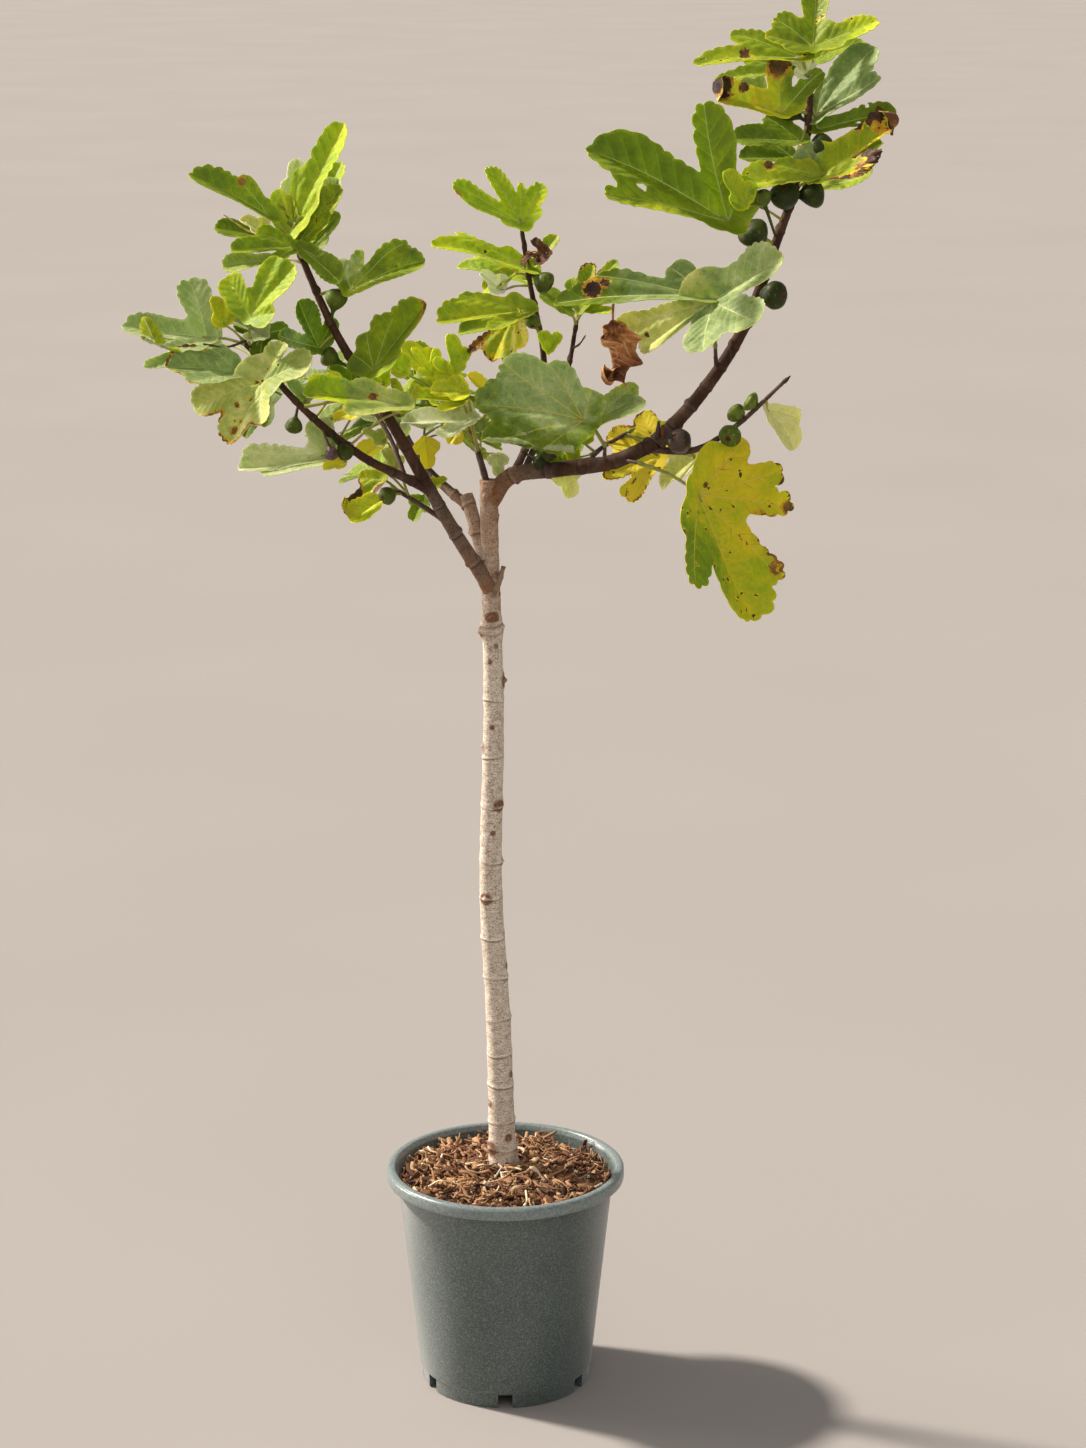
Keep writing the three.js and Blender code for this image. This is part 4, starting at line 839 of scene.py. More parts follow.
# bark that is thin and tight: grey beige with fine wrinkles and dark pores, brown and smooth on young wood
def makeBark():
    material, tree, shader = newMaterial("thinFigBark", Roughness=0.78, Specular_IOR_Level=0.3)
    place = addNode(tree, "TexCoord").outputs["Object"]
    age = addNode(tree, "Attribute", attribute_name="barkAge").outputs["Fac"]
    mark = addNode(tree, "Attribute", attribute_name="barkMark").outputs["Fac"]
    squash = addNode(tree, "Mapping", {"Vector": place, "Scale": (1, 1, 2.2)})
    stretch = addNode(tree, "Mapping", {"Vector": place, "Scale": (1, 1, 0.16)})
    cloud = addNode(tree, "TexNoise", {"Vector": place, "Scale": perMetre(28), "Detail": 4})
    grit = addNode(tree, "TexNoise", {"Vector": squash, "Scale": perMetre(1.9), "Detail": 4})
    streak = addNode(tree, "TexNoise", {"Vector": stretch, "Scale": perMetre(4), "Detail": 2})
    pores = addNode(tree, "TexVoronoi", {"Vector": squash, "Scale": perMetre(9.5)})
    mottle = addNode(tree, "TexNoise", {"Vector": squash, "Scale": perMetre(9), "Detail": 5})
    broadOld = addNode(tree, "ValToRGB", {"Fac": mottle}, [(0.34, "#a48c73"), (0.62, "#e2d6c7"), (0.46, "#cbbaa6")])
    fineOld = addNode(tree, "ValToRGB", {"Fac": grit}, [(0.39, "#6f543b"), (0.62, "#f8f1e7"), (0.49, "#cfbfab")])
    oldBark = addNode(tree, "Mix", {0: 0.52, 6: broadOld, 7: fineOld})
    broadYoung = addNode(tree, "ValToRGB", {"Fac": cloud}, [(0.3, "#2a170e"), (0.7, "#5e412b"), (0.5, "#422919")])
    fineYoung = addNode(tree, "ValToRGB", {"Fac": streak}, [(0.3, "#24140c"), (0.78, "#785b45"), (0.6, "#4b3020")])
    youngBark = addNode(tree, "Mix", {0: 0.4, 6: broadYoung, 7: fineYoung})
    between = addNode(tree, "Mix", {0: age, 6: oldBark, 7: youngBark})
    warm = addNode(tree, "ValToRGB", {"Fac": age}, [(0.05, "#ffffff"), (0.95, "#ffffff"), (0.55, "#dfa87c")])
    plain = addNode(tree, "Mix", {0: 1.0, 6: between, 7: warm}, blend_type="MULTIPLY")
    dot = addNode(tree, "ValToRGB", {"Fac": pores.outputs["Distance"]}, [(0.11, 1.0), (0.18, 0.0)])
    few = addNode(tree, "ValToRGB", {"Fac": pores.outputs["Color"]}, [(0.5, 0.0), (0.56, 1.0)])
    pore = addNode(tree, "Math", {0: dot, 1: few}, operation="MULTIPLY")
    poreDim = addNode(tree, "Math", {0: pore, 1: 0.8}, operation="MULTIPLY")
    pored = addNode(tree, "Mix", {0: poreDim, 6: plain, 7: toLinear("#5d4432")})
    # barkMark darkens knots, buds and ring scars; in the groove under each ring scar and node ring and beside the
    # collar that darkening is partly the scar's own colour and partly painted shade
    uneven = addNode(tree, "Math", {0: mark, 1: grit}, operation="MULTIPLY")
    markShare = addNode(tree, "Math", {0: uneven, 1: 2.0}, operation="MULTIPLY", use_clamp=True)
    markAndGrooveShade = addNode(tree, "ValToRGB", {"Fac": age}, [(0.3, "#734b30"), (0.9, "#261510")])
    marked = addNode(tree, "Mix", {0: markShare, 6: pored, 7: markAndGrooveShade})
    # where the mark is below zero, on the ridges of ring scars and node rings, old bark is mixed towards pale cream
    paleRidge = addNode(tree, "Math", {0: uneven, 1: -1.8}, operation="MULTIPLY")
    old = addNode(tree, "Math", {0: 1.05, 1: age}, operation="SUBTRACT")
    paleRidgeOnOld = addNode(tree, "Math", {0: paleRidge, 1: old}, operation="MULTIPLY", use_clamp=True)
    ridged = addNode(tree, "Mix", {0: paleRidgeOnOld, 6: marked, 7: toLinear("#f4ede2")})
    tree.links.new(ridged.outputs[2], shader.inputs["Base Color"])
    height = addNode(tree, "Math", {0: grit, 1: streak}, operation="ADD")
    bump = addNode(tree, "Bump", {"Height": height, "Strength": 0.35, "Distance": 0.8 * mm})
    tree.links.new(bump.outputs["Normal"], shader.inputs["Normal"])
    return material


# a limb: a circle pulled along the curve, ring by ring; reliefAt gives each point's reach, age and darkness
def growWood(name, curve, reliefAt, sides, step, node):
    bm = bmesh.new()
    turnOf = bm.verts.layers.float.new("turn")
    ringOf = bm.verts.layers.int.new("ring")
    ageOf = bm.verts.layers.float.new("barkAge")
    markOf = bm.verts.layers.float.new("barkMark")
    bmesh.ops.create_circle(bm, segments=sides, radius=1)
    for v in bm.verts:
        v[turnOf] = math.atan2(v.co.y, v.co.x)
    edges = bm.edges[:]
    steps = max(6, int(curve["length"] / step))
    for i in range(1, steps + 1):
        grown = bmesh.ops.extrude_edge_only(bm, edges=edges)["geom"]
        fresh = {g for g in grown if isinstance(g, bmesh.types.BMVert)}
        edges = [g for g in grown if isinstance(g, bmesh.types.BMEdge) and set(g.verts) <= fresh]
        for v in fresh:
            v[ringOf] = i
    frames = []
    side = Vector((1, 0, 0)) if abs(alongCurve(curve, 0).x) < 0.8 else Vector((0, 1, 0))
    for i in range(steps + 1):
        along = alongCurve(curve, i / steps)
        side = squareTo(side, along)
        frames.append((onCurve(curve, i / steps), side, along.cross(side)))
    for v in bm.verts:
        middle, side, other = frames[v[ringOf]]
        share = v[ringOf] / steps
        reach, v[ageOf], v[markOf] = reliefAt(share, share * curve["length"], v[turnOf], middle)
        v.co = (middle + side * (reach * math.cos(v[turnOf])) + other * (reach * math.sin(v[turnOf]))) * mm
    bmesh.ops.holes_fill(bm, edges=[e for e in bm.edges if e.is_boundary], sides=0)
    bmesh.ops.recalc_face_normals(bm, faces=bm.faces)
    for face in bm.faces:
        face.smooth = len(face.verts) == 4
    newPiece(name, meshOf(bm, name, [bark]), node)


# the trunk's reach with its flare, ring scars, collar and knots
def trunkRelief(share, run, turn, middle):
    length, mean = trunkShape["length"], trunkShape["mean"]
    foot, fork = trunkShape["radii"]
    rise, fade = trunkShape["flare"]
    height = share * length
    reach = foot + (fork - foot) * share + rise * math.exp(-share / fade)
    mark = 0
    rise, width = trunkShape["scarRise"]
    for i, scar in enumerate(trunkShape["scars"]):
        gap = height - scar - 1.4 * math.sin(turn + 2.1 * i) - 0.6 * math.sin(2 * turn + i)
        if abs(gap) < 40:
            part = 0.7 + 0.35 * math.sin(turn * (1 + i % 2) + 1.7 * i)
            reach += rise * 0.5 * hump(share - scar / length, width)
            reach += part * (0.6 * hump(gap, 1.3) - 0.4 * hump(gap + 2.4, 1))
            # the mark darkens the groove under the scar, partly the scar's own colour and partly painted shade, and
            # goes below zero on its ridge
            mark += part * (1.1 * hump(gap + 2.1, 1) - 0.8 * hump(gap, 1.3))
    scar, rise, width = trunkShape["collar"]
    gap = height - scar - 2 * math.sin(turn + 0.6)
    reach += rise * hump(share - scar / length, width) + 1.1 * hump(gap, 2.2) - 0.9 * hump(gap - 5, 1.4)
    # painted shade darkens the groove above the collar and the foot of its ridge
    mark += 0.7 * hump(gap - 4.6, 1.5) + 0.5 * hump(gap + 4.5, 1.2)
    for scar, degrees, tall, wide, rise, dark in trunkShape["knots"]:
        off = math.radians(wrapped(math.degrees(turn) - degrees))
        far = ((height - scar) / tall) ** 2 + (off * mean / wide) ** 2
        if far < 8:
            reach += rise * math.exp(-far) * (1 + 0.4 * math.cos(5 * math.sqrt(far)))
            rough = 1.1 + 0.8 * noise.noise(Vector((height / 3, turn * 5, scar)))
            mark += dark * rough * (0.8 * hump(far, 1) + 0.75 * hump(math.sqrt(far) - 0.95, 0.35))
    spot = Vector((math.cos(turn) * mean, math.sin(turn) * mean, height))
    reach += 0.5 * noise.noise(spot / 14) + 0.3 * noise.noise(spot / 5) + 0.16 * noise.noise(spot / 1.9)
    start, over = trunkShape["young"]
    return reach, clamp((height - start) / over + 0.08 * noise.noise(spot / 25)), clamp(mark, -1)


# a bough has a ring and a bud at every node, wide at its foot and rounded at its end
def boughRelief(shape, seed):
    nodeGap = 27 + 6 * (seed % 3)
    foot, end = shape["radii"]
    footAge, endAge = shape["age"]

    def relief(share, run, turn, middle):
        reach = foot + (end - foot) * share + 0.22 * foot * math.exp(-max(run - foot, 0) / 9)
        k = round(run / nodeGap)
        gap = (run / nodeGap - k) * nodeGap - 0.8 * math.sin(turn + k)
        size = 0.35 + 0.06 * reach
        reach += size * hump(gap, 2.6) - 0.6 * size * hump(gap + 3, 1)
        # dark in the groove under each node ring, partly the ring's own colour and partly painted shade, and below
        # zero on the ring itself
        mark = 0.8 * hump(gap + 2.8, 1.1) - 0.3 * hump(gap, 1.4)
        off = wrapped(math.degrees(turn) - 137.5 * k - 40 * seed)
        bud = ((gap - 3) / 3) ** 2 + (math.radians(off) * reach / 3) ** 2
        reach += (0.9 + 0.16 * reach) * math.exp(-bud)
        mark += 0.5 * math.exp(-bud * 2)
        spot = middle + Vector((math.cos(turn), math.sin(turn), 0)) * reach
        reach += 0.22 * noise.noise(spot / 6) + 0.12 * noise.noise(spot / 2)
        age = footAge + (endAge - footAge) * min(share * 2.2, 1) + 0.12 * noise.noise(spot / 16)
        if not shape.get("whole"):
            tip = max(0, (share - 0.97) / 0.03)
            reach *= math.sqrt(max(1 - tip * tip, 0.01))
        return reach, clamp(age), clamp(mark, -1)

    return relief


bark = makeBark()
growWood("trunk_bark", throughStations(trunkShape["stations"]), trunkRelief, 52, 1.3, "trunk")
for i, (name, shape) in enumerate(boughShapes.items()):
    shape["curve"] = throughStations(shape["stations"])
    sides = 30 if shape["radii"][0] > 7 else 20
    growWood(name + "_bark", shape["curve"], boughRelief(shape, i + 1), sides, 2.1, name)
print("wood grown")


# sprays: each grows round one stem; a leaf has its share of the stem, root, midrib, roll, kind, skin and marks,
# and the small ones between them have root, midrib, kind and skin
sprays = {
    "foliage_left_upper": {
        "follows": "bough_left", "seed": 11,
        "leaves": [
            (0.98, (-228, -20, 1110), (56, 10, 115), -4, "upper0", ("lit", 1.2, 0.6),
             {"turn": [(90, 0.8)], "glow": 1.2}),
            (0.93, (-252, -30, 1124), (-81, -10, 54), -2, "upper1", ("green", 4.4, 0.7),
             {"patch": [(22, 0.5, 0.035, 10.6)], "glow": 2.2}),
            (0.95, (-222, -25, 1096), (48, -5, 60), 8, "upper2", ("green", 4.6, 0.9), {"spots": [(4, 1.2)]}),
            (0.9, (-218, -45, 1092), (43, -30, -30), 8, "upper3", ("green", 3.1, 0.7), {}),
            (0.92, (-268, 26, 1096), (-50, 5, 10), -10, "upper4", ("green", 3.1, 0.7), {"glow": 2.2}),
            (0.88, (-226, -42, 1092), (-65, -24, 5), 2, "upper5", ("green", 4.5, 0.9), {}),
            (0.86, (-251, 10, 1072), (-58, 8, -7), -14, "upper6", ("pale", 1.2, 0.5), {}),
            (0.72, (-164, -40, 1046), (75, -5, 41), 12, "upper7", ("green", 4.2, 0.9),
             {"wash": [(-87, 0.35, 0.24, "sage", 3.4)], "glow": 2}),
            (0.4, (-141, -45, 959), (56, -10, 78), 8, "upper8", ("green", 4, 0.8),
             {"turn": [(70, 1.8)], "edge": [(5, 14, 3, 10)], "veins": 2, "glow": 2}),
            (0.55, (-201, -30, 981), (-22, -5, 54), 10, "upper9", ("green", 2.3, 0.7),
             {"wash": [(-51, 0.6, 0.34, "sage", 2.4)]}),
        ],
        "figs": [
            (0.6, (-181, -36, 1037), 9.5, "fruit", 2.6),
            (0.36, (-191, -30, 972), 8.2, "fruit", 2.4),
        ],
        "small": [
            ((-132, 10, 936), (-35, -8, 22), "oval", ("lit", 1.5, 0.4)),
            ((-167, -8, 939), (-23, -4, 19), "oval", ("green", 3.2, 0.5)),
            ((-222, 12, 1141), (-4, 6, 41), "oval", ("sage", 5.4, 0.4)),
            ((-203, 18, 1120), (22, 6, 41), "oval", ("sage", 4.2, 0.4)),
            ((-262, 14, 1100), (-26, 4, 18), "oval", ("pale", 4, 0.5)),
        ],
    },
    "foliage_left_low": {
        "follows": "bough_left_low", "seed": 23,
        "leaves": [
            (0.97, (-318, -85, 1000), (-90, -10, 18), -10, "low0", ("sage", 4.1, 0.6),
             {"rolls": [(-78, 0.4, 8, 150)], "below": ("green", 5.4, 0.5), "veins": 3}),
            (0.9, (-283, -100, 964), (-73, -24, 17), -2, "low1", ("sage", 3.1, 0.7),
             {"edge": [(-10, 50, 2.5, 10.6)]}),
            (0.8, (-257, -120, 958), (-38, -30, -56), 8, "low2", ("pale", 2.6, 0.8),
             # the darker pale wash is painted shade on the lobe turned to the light
             {"wash": [(-131, 0.55, 0.5, "pale", 1.6)], "patch": [(0, 0.82, 0.05, 10.6), (14, 0.5, 0.035, 11)],
              "spots": [(10, 1.4)], "edge": [(0, 45, 2, 10.2)], "veins": 3}),
            (0.95, (-270, -100, 1025), (47, -5, 58), 8, "low3", ("lit", 0.6, 0.6), {}),
            (0.7, (-260, -60, 1001), (-30, -5, 15), -10, "low4", ("green", 1.9, 0.6), {}),
            (0.42, (-109, -88, 927), (-103, -12, 24), -2, "low5", ("pale", 1.9, 0.9),
             {"wash": [(0, 0.85, 0.3, "lit", 1.6)], "patch": [(8, 0.3, 0.045, 10.8)], "veins": 2}),
            (0.1, (-193, -58, 867), (-97, -15, -13), -8, "low6", ("sage", 5.6, 0.6),
             {"wash": [(-60, 0.35, 0.2, "green", 5)], "veins": 3}),
        ],
        "figs": [
            (0.45, (-228, -62, 900), 7.5, "fruit", 2.2),
            (0.2, (-171, -72, 872), 8.2, "fruit", 1.4),
            (0.24, (-186, -74, 871), 6.5, "ripe", 1.6),
        ],
        "small": [
            ((-176, -58, 940), (-35, -8, 10), "oval", ("lit", 2.4, 0.4)),
            ((-215, -50, 925), (-18, -4, 25), "oval", ("sage", 3.4, 0.4)),
            ((-174, -50, 857), (-23, -6, -4), "oval", ("lit", 3.4, 0.4)),
            ((-159, -44, 914), (-27, -6, -9), "oval", ("lit", 3.6, 0.4)),
            ((-107, -56, 919), (-15, -8, 34), "three", ("green", 5.4, 0.6)),
            ((-300, -82, 1015), (-9, -4, 30), "oval", ("green", 6, 0.5)),
            ((-258, -66, 1000), (-37, -4, 21), "three", ("sage", 4.3, 0.5)),
        ],
    },
    "foliage_left_side": {
        "from": (-109, -30, 840), "to": [(-125, -6, 877), (-142, 12, 902), (-155, 24, 918)], "radii": (2.8, 1.9),
        "seed": 5, "backSkin": ("green", 2.5, 0.6), "back": (4, 78),
        "leaves": [],
        "small": [
            ((-134, 8, 870), (-24, -4, 13), "oval", ("pale", 1.8, 0.4)),
            ((-120, 14, 839), (-14, 2, 22), "oval", ("pale", 2.5, 0.4)),
        ],
    },
    "foliage_left_under": {
        "from": (-54, -12, 777), "to": [(-90, 10, 797), (-120, 20, 814)], "radii": (3.2, 2.4), "seed": 31,
        "backSkin": ("green", 2.8, 0.6), "back": (2, 66),
        "leaves": [
            (0.9, (-136, 10, 806), (-36, -10, -23), -2, "under0", ("lit", 2.4, 0.6), {}),
            (0.95, (-136, 20, 826), (-53, -5, -48), -2, "under1", ("green", 6.1, 0.7),
             {"edge": [(-20, 70, 5, 11.5)], "rolls": [(10, 0.62, 6, 120)]}),
            (0.8, (-131, 20, 870), (-32, 0, -20), -6, "under2", ("lit", 4.3, 0.4), {}),
        ],
        "figs": [
            (0.98, (-130, 6, 810), 7.8, "fruit", 2.4),
        ],
    },
    "foliage_back_left": {
        "follows": "bough_back_left", "seed": 47, "backSkin": ("green", 3.9, 0.7), "back": (6, 92),
        "leaves": [
            (0.3, (-92, 84, 792), (-14, -6, -24), 0, "oval", ("green", 3.5, 0.5), {}),
        ],
        "small": [
            ((-80, 44, 813), (15, 2, 11), "oval", ("green", 5.2, 0.4)),
        ],
    },
    "foliage_centre_left": {
        "from": (-17, 0, 820), "to": [(-26, 14, 849), (-33, 46, 866), (-46, 98, 910)], "radii": (4, 2.4), "seed": 53,
        "backSkin": ("green", 4.2, 0.7), "back": (4, 80),
        "leaves": [
            (0.95, (-53, 10, 948), (-6, 10, 42), 28, "inner0", ("lit", 1.4, 0.6), {}),
            (0.9, (-83, 30, 948), (-30, 5, 28), 0, "oval", ("lit", 2.3, 0.5), {}),
            (0.8, (-52, 20, 918), (-54, 10, 9), 0, "oval", ("lit", 1.2, 0.6), {}),
            (0.7, (-36, -10, 898), (-78, -10, 0), 10, "three", ("sage", 6.1, 0.8), {}),
            (0.6, (-88, 30, 869), (4, -5, -32), 0, "oval", ("lit", 3.9, 0.4), {}),
            (0.5, (-54, 30, 891), (2, -5, -27), 0, "oval", ("lit", 4, 0.5), {}),
            (0.3, (-6, 20, 854), (0, -5, -24), 0, "oval", ("sage", 5.2, 0.5), {}),
        ],
        "small": [
            ((-108, -24, 953), (-28, -6, 25), "oval", ("lit", 1.4, 0.5)),
            ((-79, 0, 948), (-23, -4, 28), "three", ("lit", 1.8, 0.5)),
            ((-46, -14, 920), (-57, -8, 6), "three", ("lit", 2, 0.6)),
            ((-50, 20, 885), (-11, -4, -18), "oval", ("lit", 3.4, 0.4)),
            ((-41, -20, 930), (-39, -6, 5), "oval", ("lit", 2.2, 0.5)),
        ],
    },
    "foliage_centre": {
        "follows": "shoot_centre", "seed": 62,
        "leaves": [
            (0.35, (14, 10, 1012), (-32, -10, -47), 10, "shoot0", ("green", 6.3, 0.9),
             {"patch": [(30, 1, 0.2, 12)], "spots": [(6, 1.4)], "edge": [(10, 60, 3, 10.6)]}),
            (0.5, (26, 10, 1016), (-99, -15, -1), 0, "shoot1", ("green", 5.3, 0.8), {}),
            (0.99, (21, 28, 1110), (-38, 30, 59), 6, "shoot2", ("lit", 1.1, 0.6),
             {"patch": [(-45, 1.05, 0.05, 9.6)], "glow": 1.4}),
            (0.8, (27, 28, 1059), (-100, -10, 39), 6, "shoot3", ("lit", 1.4, 0.7), {"spots": [(6, 1.2)]}),
            (0.82, (37, 26, 1066), (21, 8, 32), -4, "shoot4", ("green", 4.9, 0.7), {}),
            (0.7, (12, 28, 1055), (-36, 5, -17), -12, "shoot5", ("green", 5.6, 0.7), {"spots": [(6, 1.2)]}),
            (0.3, (49, 20, 969), (-7, 5, 24), 18, "shoot6", ("lit", 1.1, 0.6), {}),
        ],
        "figs": [
            (0.72, (46, 22, 1046), 9, "fruit", 2.4),
            (0.5, (33, 18, 1003), 6.7, "fruit", 3),
            (-0.3, (51, -16, 862), 8, "fruit", 1),
            (-0.4, (42, -8, 850), 7.4, "fruit", 0.8),
        ],
        "small": [
            ((-2, 22, 1037), (-23, 2, 20), "oval", ("sage", 7, 0.4)),
            ((-12, -8, 921), (-25, -6, 29), "oval", ("lit", 4, 0.4)),
            ((50, 6, 1080), (-31, -4, -5), "three", ("dead", 0.4, 1)),
        ],
    },
    "foliage_centre_right": {
        "follows": "shoot_centre_right", "seed": 71,
        "leaves": [
            (0.98, (87, 60, 1011), (11, 15, 51), -22, "far0", ("green", 4.5, 0.7), {"edge": [(0, 30, 2.5, 11)]}),
            (0.9, (74, 60, 1006), (-32, 10, 25), -4, "far1", ("green", 4.1, 0.6), {}),
            (0.95, (96, 62, 1010), (36, 5, 22), 0, "three", ("lit", 1, 0.6), {}),
        ],
    },
    "foliage_right_front": {
        "from": (112, -18, 852), "to": [(112, -46, 876)], "radii": (2.2, 1.9), "seed": 83,
        "leaves": [
            (0.98, (88, -70, 908), (-112, -25, 31), -12, "front0", ("green", 3.3, 0.7),
             {"wash": [(36, 0.5, 0.56, "sage", 4.3)], "rolls": [(-88, 0.5, 6, 140)], "veins": 4}),
            (0.95, (97, -30, 897), (41, -5, 28), 8, "front1", ("lit", 1.2, 0.6),
             {"wash": [(10, 0.9, 0.6, "sage", 3)]}),
        ],
    },
    "foliage_right_hanging": {
        "from": (131, -21, 856), "to": [(150, -44, 856)], "radii": (2.2, 1.8), "seed": 97,
        "leaves": [
            (0.98, (213, -80, 828), (61, -20, -137), -12, "hang0", ("green", 6.3, 0.55),
             {"wash": [(-70, 0.45, 0.5, "green", 7.2), (38, 0.55, 0.28, "green", 4.7)],
              "patch": [(-59, 0.74, 0.06, 11), (-24, 0.8, 0.04, 10.5), (-45, 0.62, 0.05, 11)],
              "edge": [(-60, 34, 5, 10.8), (-22, 20, 3, 10.5)], "spots": [(38, 1.7)], "veins": 4, "glow": 0.8}),
        ],
    },
    "foliage_right_back": {
        "from": (92, -12, 848), "to": [(108, 22, 860), (140, 40, 876)], "radii": (3, 2.1), "seed": 105,
        "leaves": [
            (0.96, (174, 30, 850), (-58, 10, 26), -6, "back0", ("lit", 4.7, 0.7),
             {"edge": [(0, 170, 1.8, 10)], "spots": [(12, 1.4)], "veins": 4, "glow": 0.6}),
            (0.4, (63, 40, 833), (-5, 20, 45), 0, "five", ("green", 3.4, 0.6), {}),
            (0.9, (216, 46, 846), (-42, 10, -35), 0, "oval", ("pale", 3.5, 0.5), {}),
        ],
        "small": [
            ((63, 26, 881), (20, -6, -44), "three", ("green", 5.6, 0.7)),
            ((66, 20, 840), (11, -4, -34), "oval", ("pale", 4.2, 0.5)),
        ],
    },
    "foliage_right_middle": {
        "from": (234, -23, 958), "to": [(232, -42, 984)], "radii": (2.4, 2), "seed": 113,
        "leaves": [
            (0.98, (220, -50, 1040), (-165, -10, 11), -2, "mid0", ("green", 2.9, 0.8),
             {"wash": [(42, 0.3, 0.25, "sage", 3.6), (0, 0.25, 0.3, "sage", 3.2)],
              "patch": [(5, 0.74, 0.05, 12.4), (8, 0.67, 0.03, 12)], "veins": 3}),
            (0.98, (227, -60, 1036), (74, -14, 51), 10, "mid1", ("pale", 3.2, 0.9),
             {"wash": [(0, 0.55, 0.5, "sage", 4), (85, 0.55, 0.6, "sage", 2.9)],
              "patch": [(-161, 1.2, 0.06, 10.8), (-172, 0.9, 0.03, 11)], "glow": 0.8, "below": ("sage", 4.8, 0.4),
              "veins": 3}),
            ((120, -48, 1032), (120, -42, 1008), (3, -5, -62), 0, "husk", ("dead", 2.2, 1.5),
             {"rolls": [(74, 0.2, 7, 130), (-74, 0.22, -6, 110), (4, 0.8, 5, 90)], "crumple": 0.22, "veins": 5,
              "below": ("dead", 3.2, 1.3)}),
        ],
    },
    "foliage_right_top": {
        "follows": "bough_right_rise", "seed": 127,
        "leaves": [
            (1, (336, 5, 1303), (5, 60, 66), 0, "top0", ("green", 4.6, 0.8),
             {"wash": [(69, 0.7, 0.3, "lit", 1.4)], "spots": [(7, 1.5)], "glow": 2}),
            (0.9, (341, 8, 1229), (60, 10, 78), -2, "top1", ("green", 3, 0.4),
             {"wash": [(0, 0.5, 0.95, "sage", 2.5)], "veins": 3, "glow": 2}),
            (0.97, (323, 0, 1291), (-112, -10, 7), 2, "top2", ("green", 5.3, 0.7),
             {"patch": [(5, 0.55, 0.045, 11.5)], "spots": [(9, 1.5)]}),
            (0.85, (301, -10, 1233), (-87, 10, 31), -12, "top3", ("green", 6.4, 0.7),
             {"wash": [(113, 0.5, 0.3, "green", 3.6), (20, 0.7, 0.3, "lit", 3)], "rolls": [(0, 0.72, 6, 130)],
              "patch": [(0, 0.84, 0.2, 12.2), (67, 0.6, 0.14, 11), (16, 0.52, 0.05, 11.4)]}),
            (0.8, (324, -5, 1203), (-77, -5, 1), -2, "top4", ("green", 3, 0.7), {}),
            (0.85, (344, 5, 1215), (84, -10, 19), 12, "top5", ("green", 3.2, 0.7),
             {"holes": [(5, 0.5, 0.03), (-12, 0.66, 0.02)], "glow": 1.5}),
            (0.5, (344, -20, 1167), (94, -20, 71), 2, "top6", ("green", 5.2, 0.8),
             {"wash": [(-84, 0.3, 0.2, "sage", 3.2)], "patch": [(0, 0.92, 0.19, 10.6), (47, 0.84, 0.24, 11)],
              "edge": [(0, 32, 8, 11.8), (47, 32, 8, 11.8)], "rolls": [(0, 0.8, 5, 130), (47, 0.78, 6, 120)],
              "glow": 2}),
            (0.45, (344, -22, 1167), (-87, -5, -2), -2, "top7", ("green", 5, 0.7),
             {"patch": [(18, 0.65, 0.05, 11.5)], "spots": [(5, 1.4)]}),
            (0.12, (244, -40, 1120), (-145, -15, 88), -14, "top8", ("green", 4.2, 0.9),
             {"wash": [(-40, 0.6, 0.15, "green", 5.4)], "holes": [(-13, 0.62, 0.03)], "veins": 2, "glow": 2}),
        ],
        "figs": [
            (0.3, (306, -24, 1147), 12.5, "fruit", 0.8),
            (0.4, (340, -2, 1146), 11.2, "fruit", 1),
            (0.62, (348, -6, 1198), 12, "fruit", 1.2),
            (0.05, (272, -30, 1107), 12.3, "fruit", 0.9),
            (0.8, (312, 10, 1235), 9, "fruit", 1.6),
            (0.15, (281, -36, 1146), 7.5, "fruit", 2.8),
            (-0.15, (297, -30, 1039), 12.4, "fruit", 0.8),
        ],
        "small": [
            ((284, 24, 1255), (-26, 4, 9), "oval", ("pale", 1, 0.4)),
            ((329, 2, 1272), (-13, 2, 24), "oval", ("sage", 6.4, 0.4)),
            ((261, -46, 1139), (-22, -8, 37), "oval", ("lit", 0.9, 0.5)),
        ],
    },
    "foliage_right_twig": {
        "from": (158, -23, 868), "to": [(210, -35, 869), (253, -42, 895), (307, -50, 947)], "radii": (4.2, 2),
        "seed": 139, "budSkin": ("twig", 1.8),
        "leaves": [
            (0.85, (289, -48, 916), (34, -10, -39), -4, "twig0", ("pale", 4.9, 0.6), {}),
        ],
        "figs": [
            (0.25, (194, -46, 880), 14.5, "ripe", 0.4),
            (0.62, (248, -70, 891), 9, "fruit", 2.6),
            (0.78, (273, -45, 923), 8.4, "fruit", 3.2),
            (0.66, (256, -36, 910), 7.8, "fruit", 3.4),
        ],
    },
}
# the far side is filled by the same rule as in the solids; these grew into a neighbour there
leftOut = {"foliage_left_upper twin 8", "foliage_left_side back 2", "foliage_left_under back 0",
           "foliage_right_front twin 0"}
twinShape = {"back": 95, "fall": 0.26, "size": 0.8, "least": 60, "most": 130}
twigShape = {"sides": 12, "gap": 19, "scar": 0.35}


def leafBend(throw):
    return {"fold": math.radians(12 + 20 * throw()), "droop": 0.02 + 0.12 * throw(),
            "wave": 0.03 + 0.05 * throw(), "phase": 2 * math.pi * throw()}


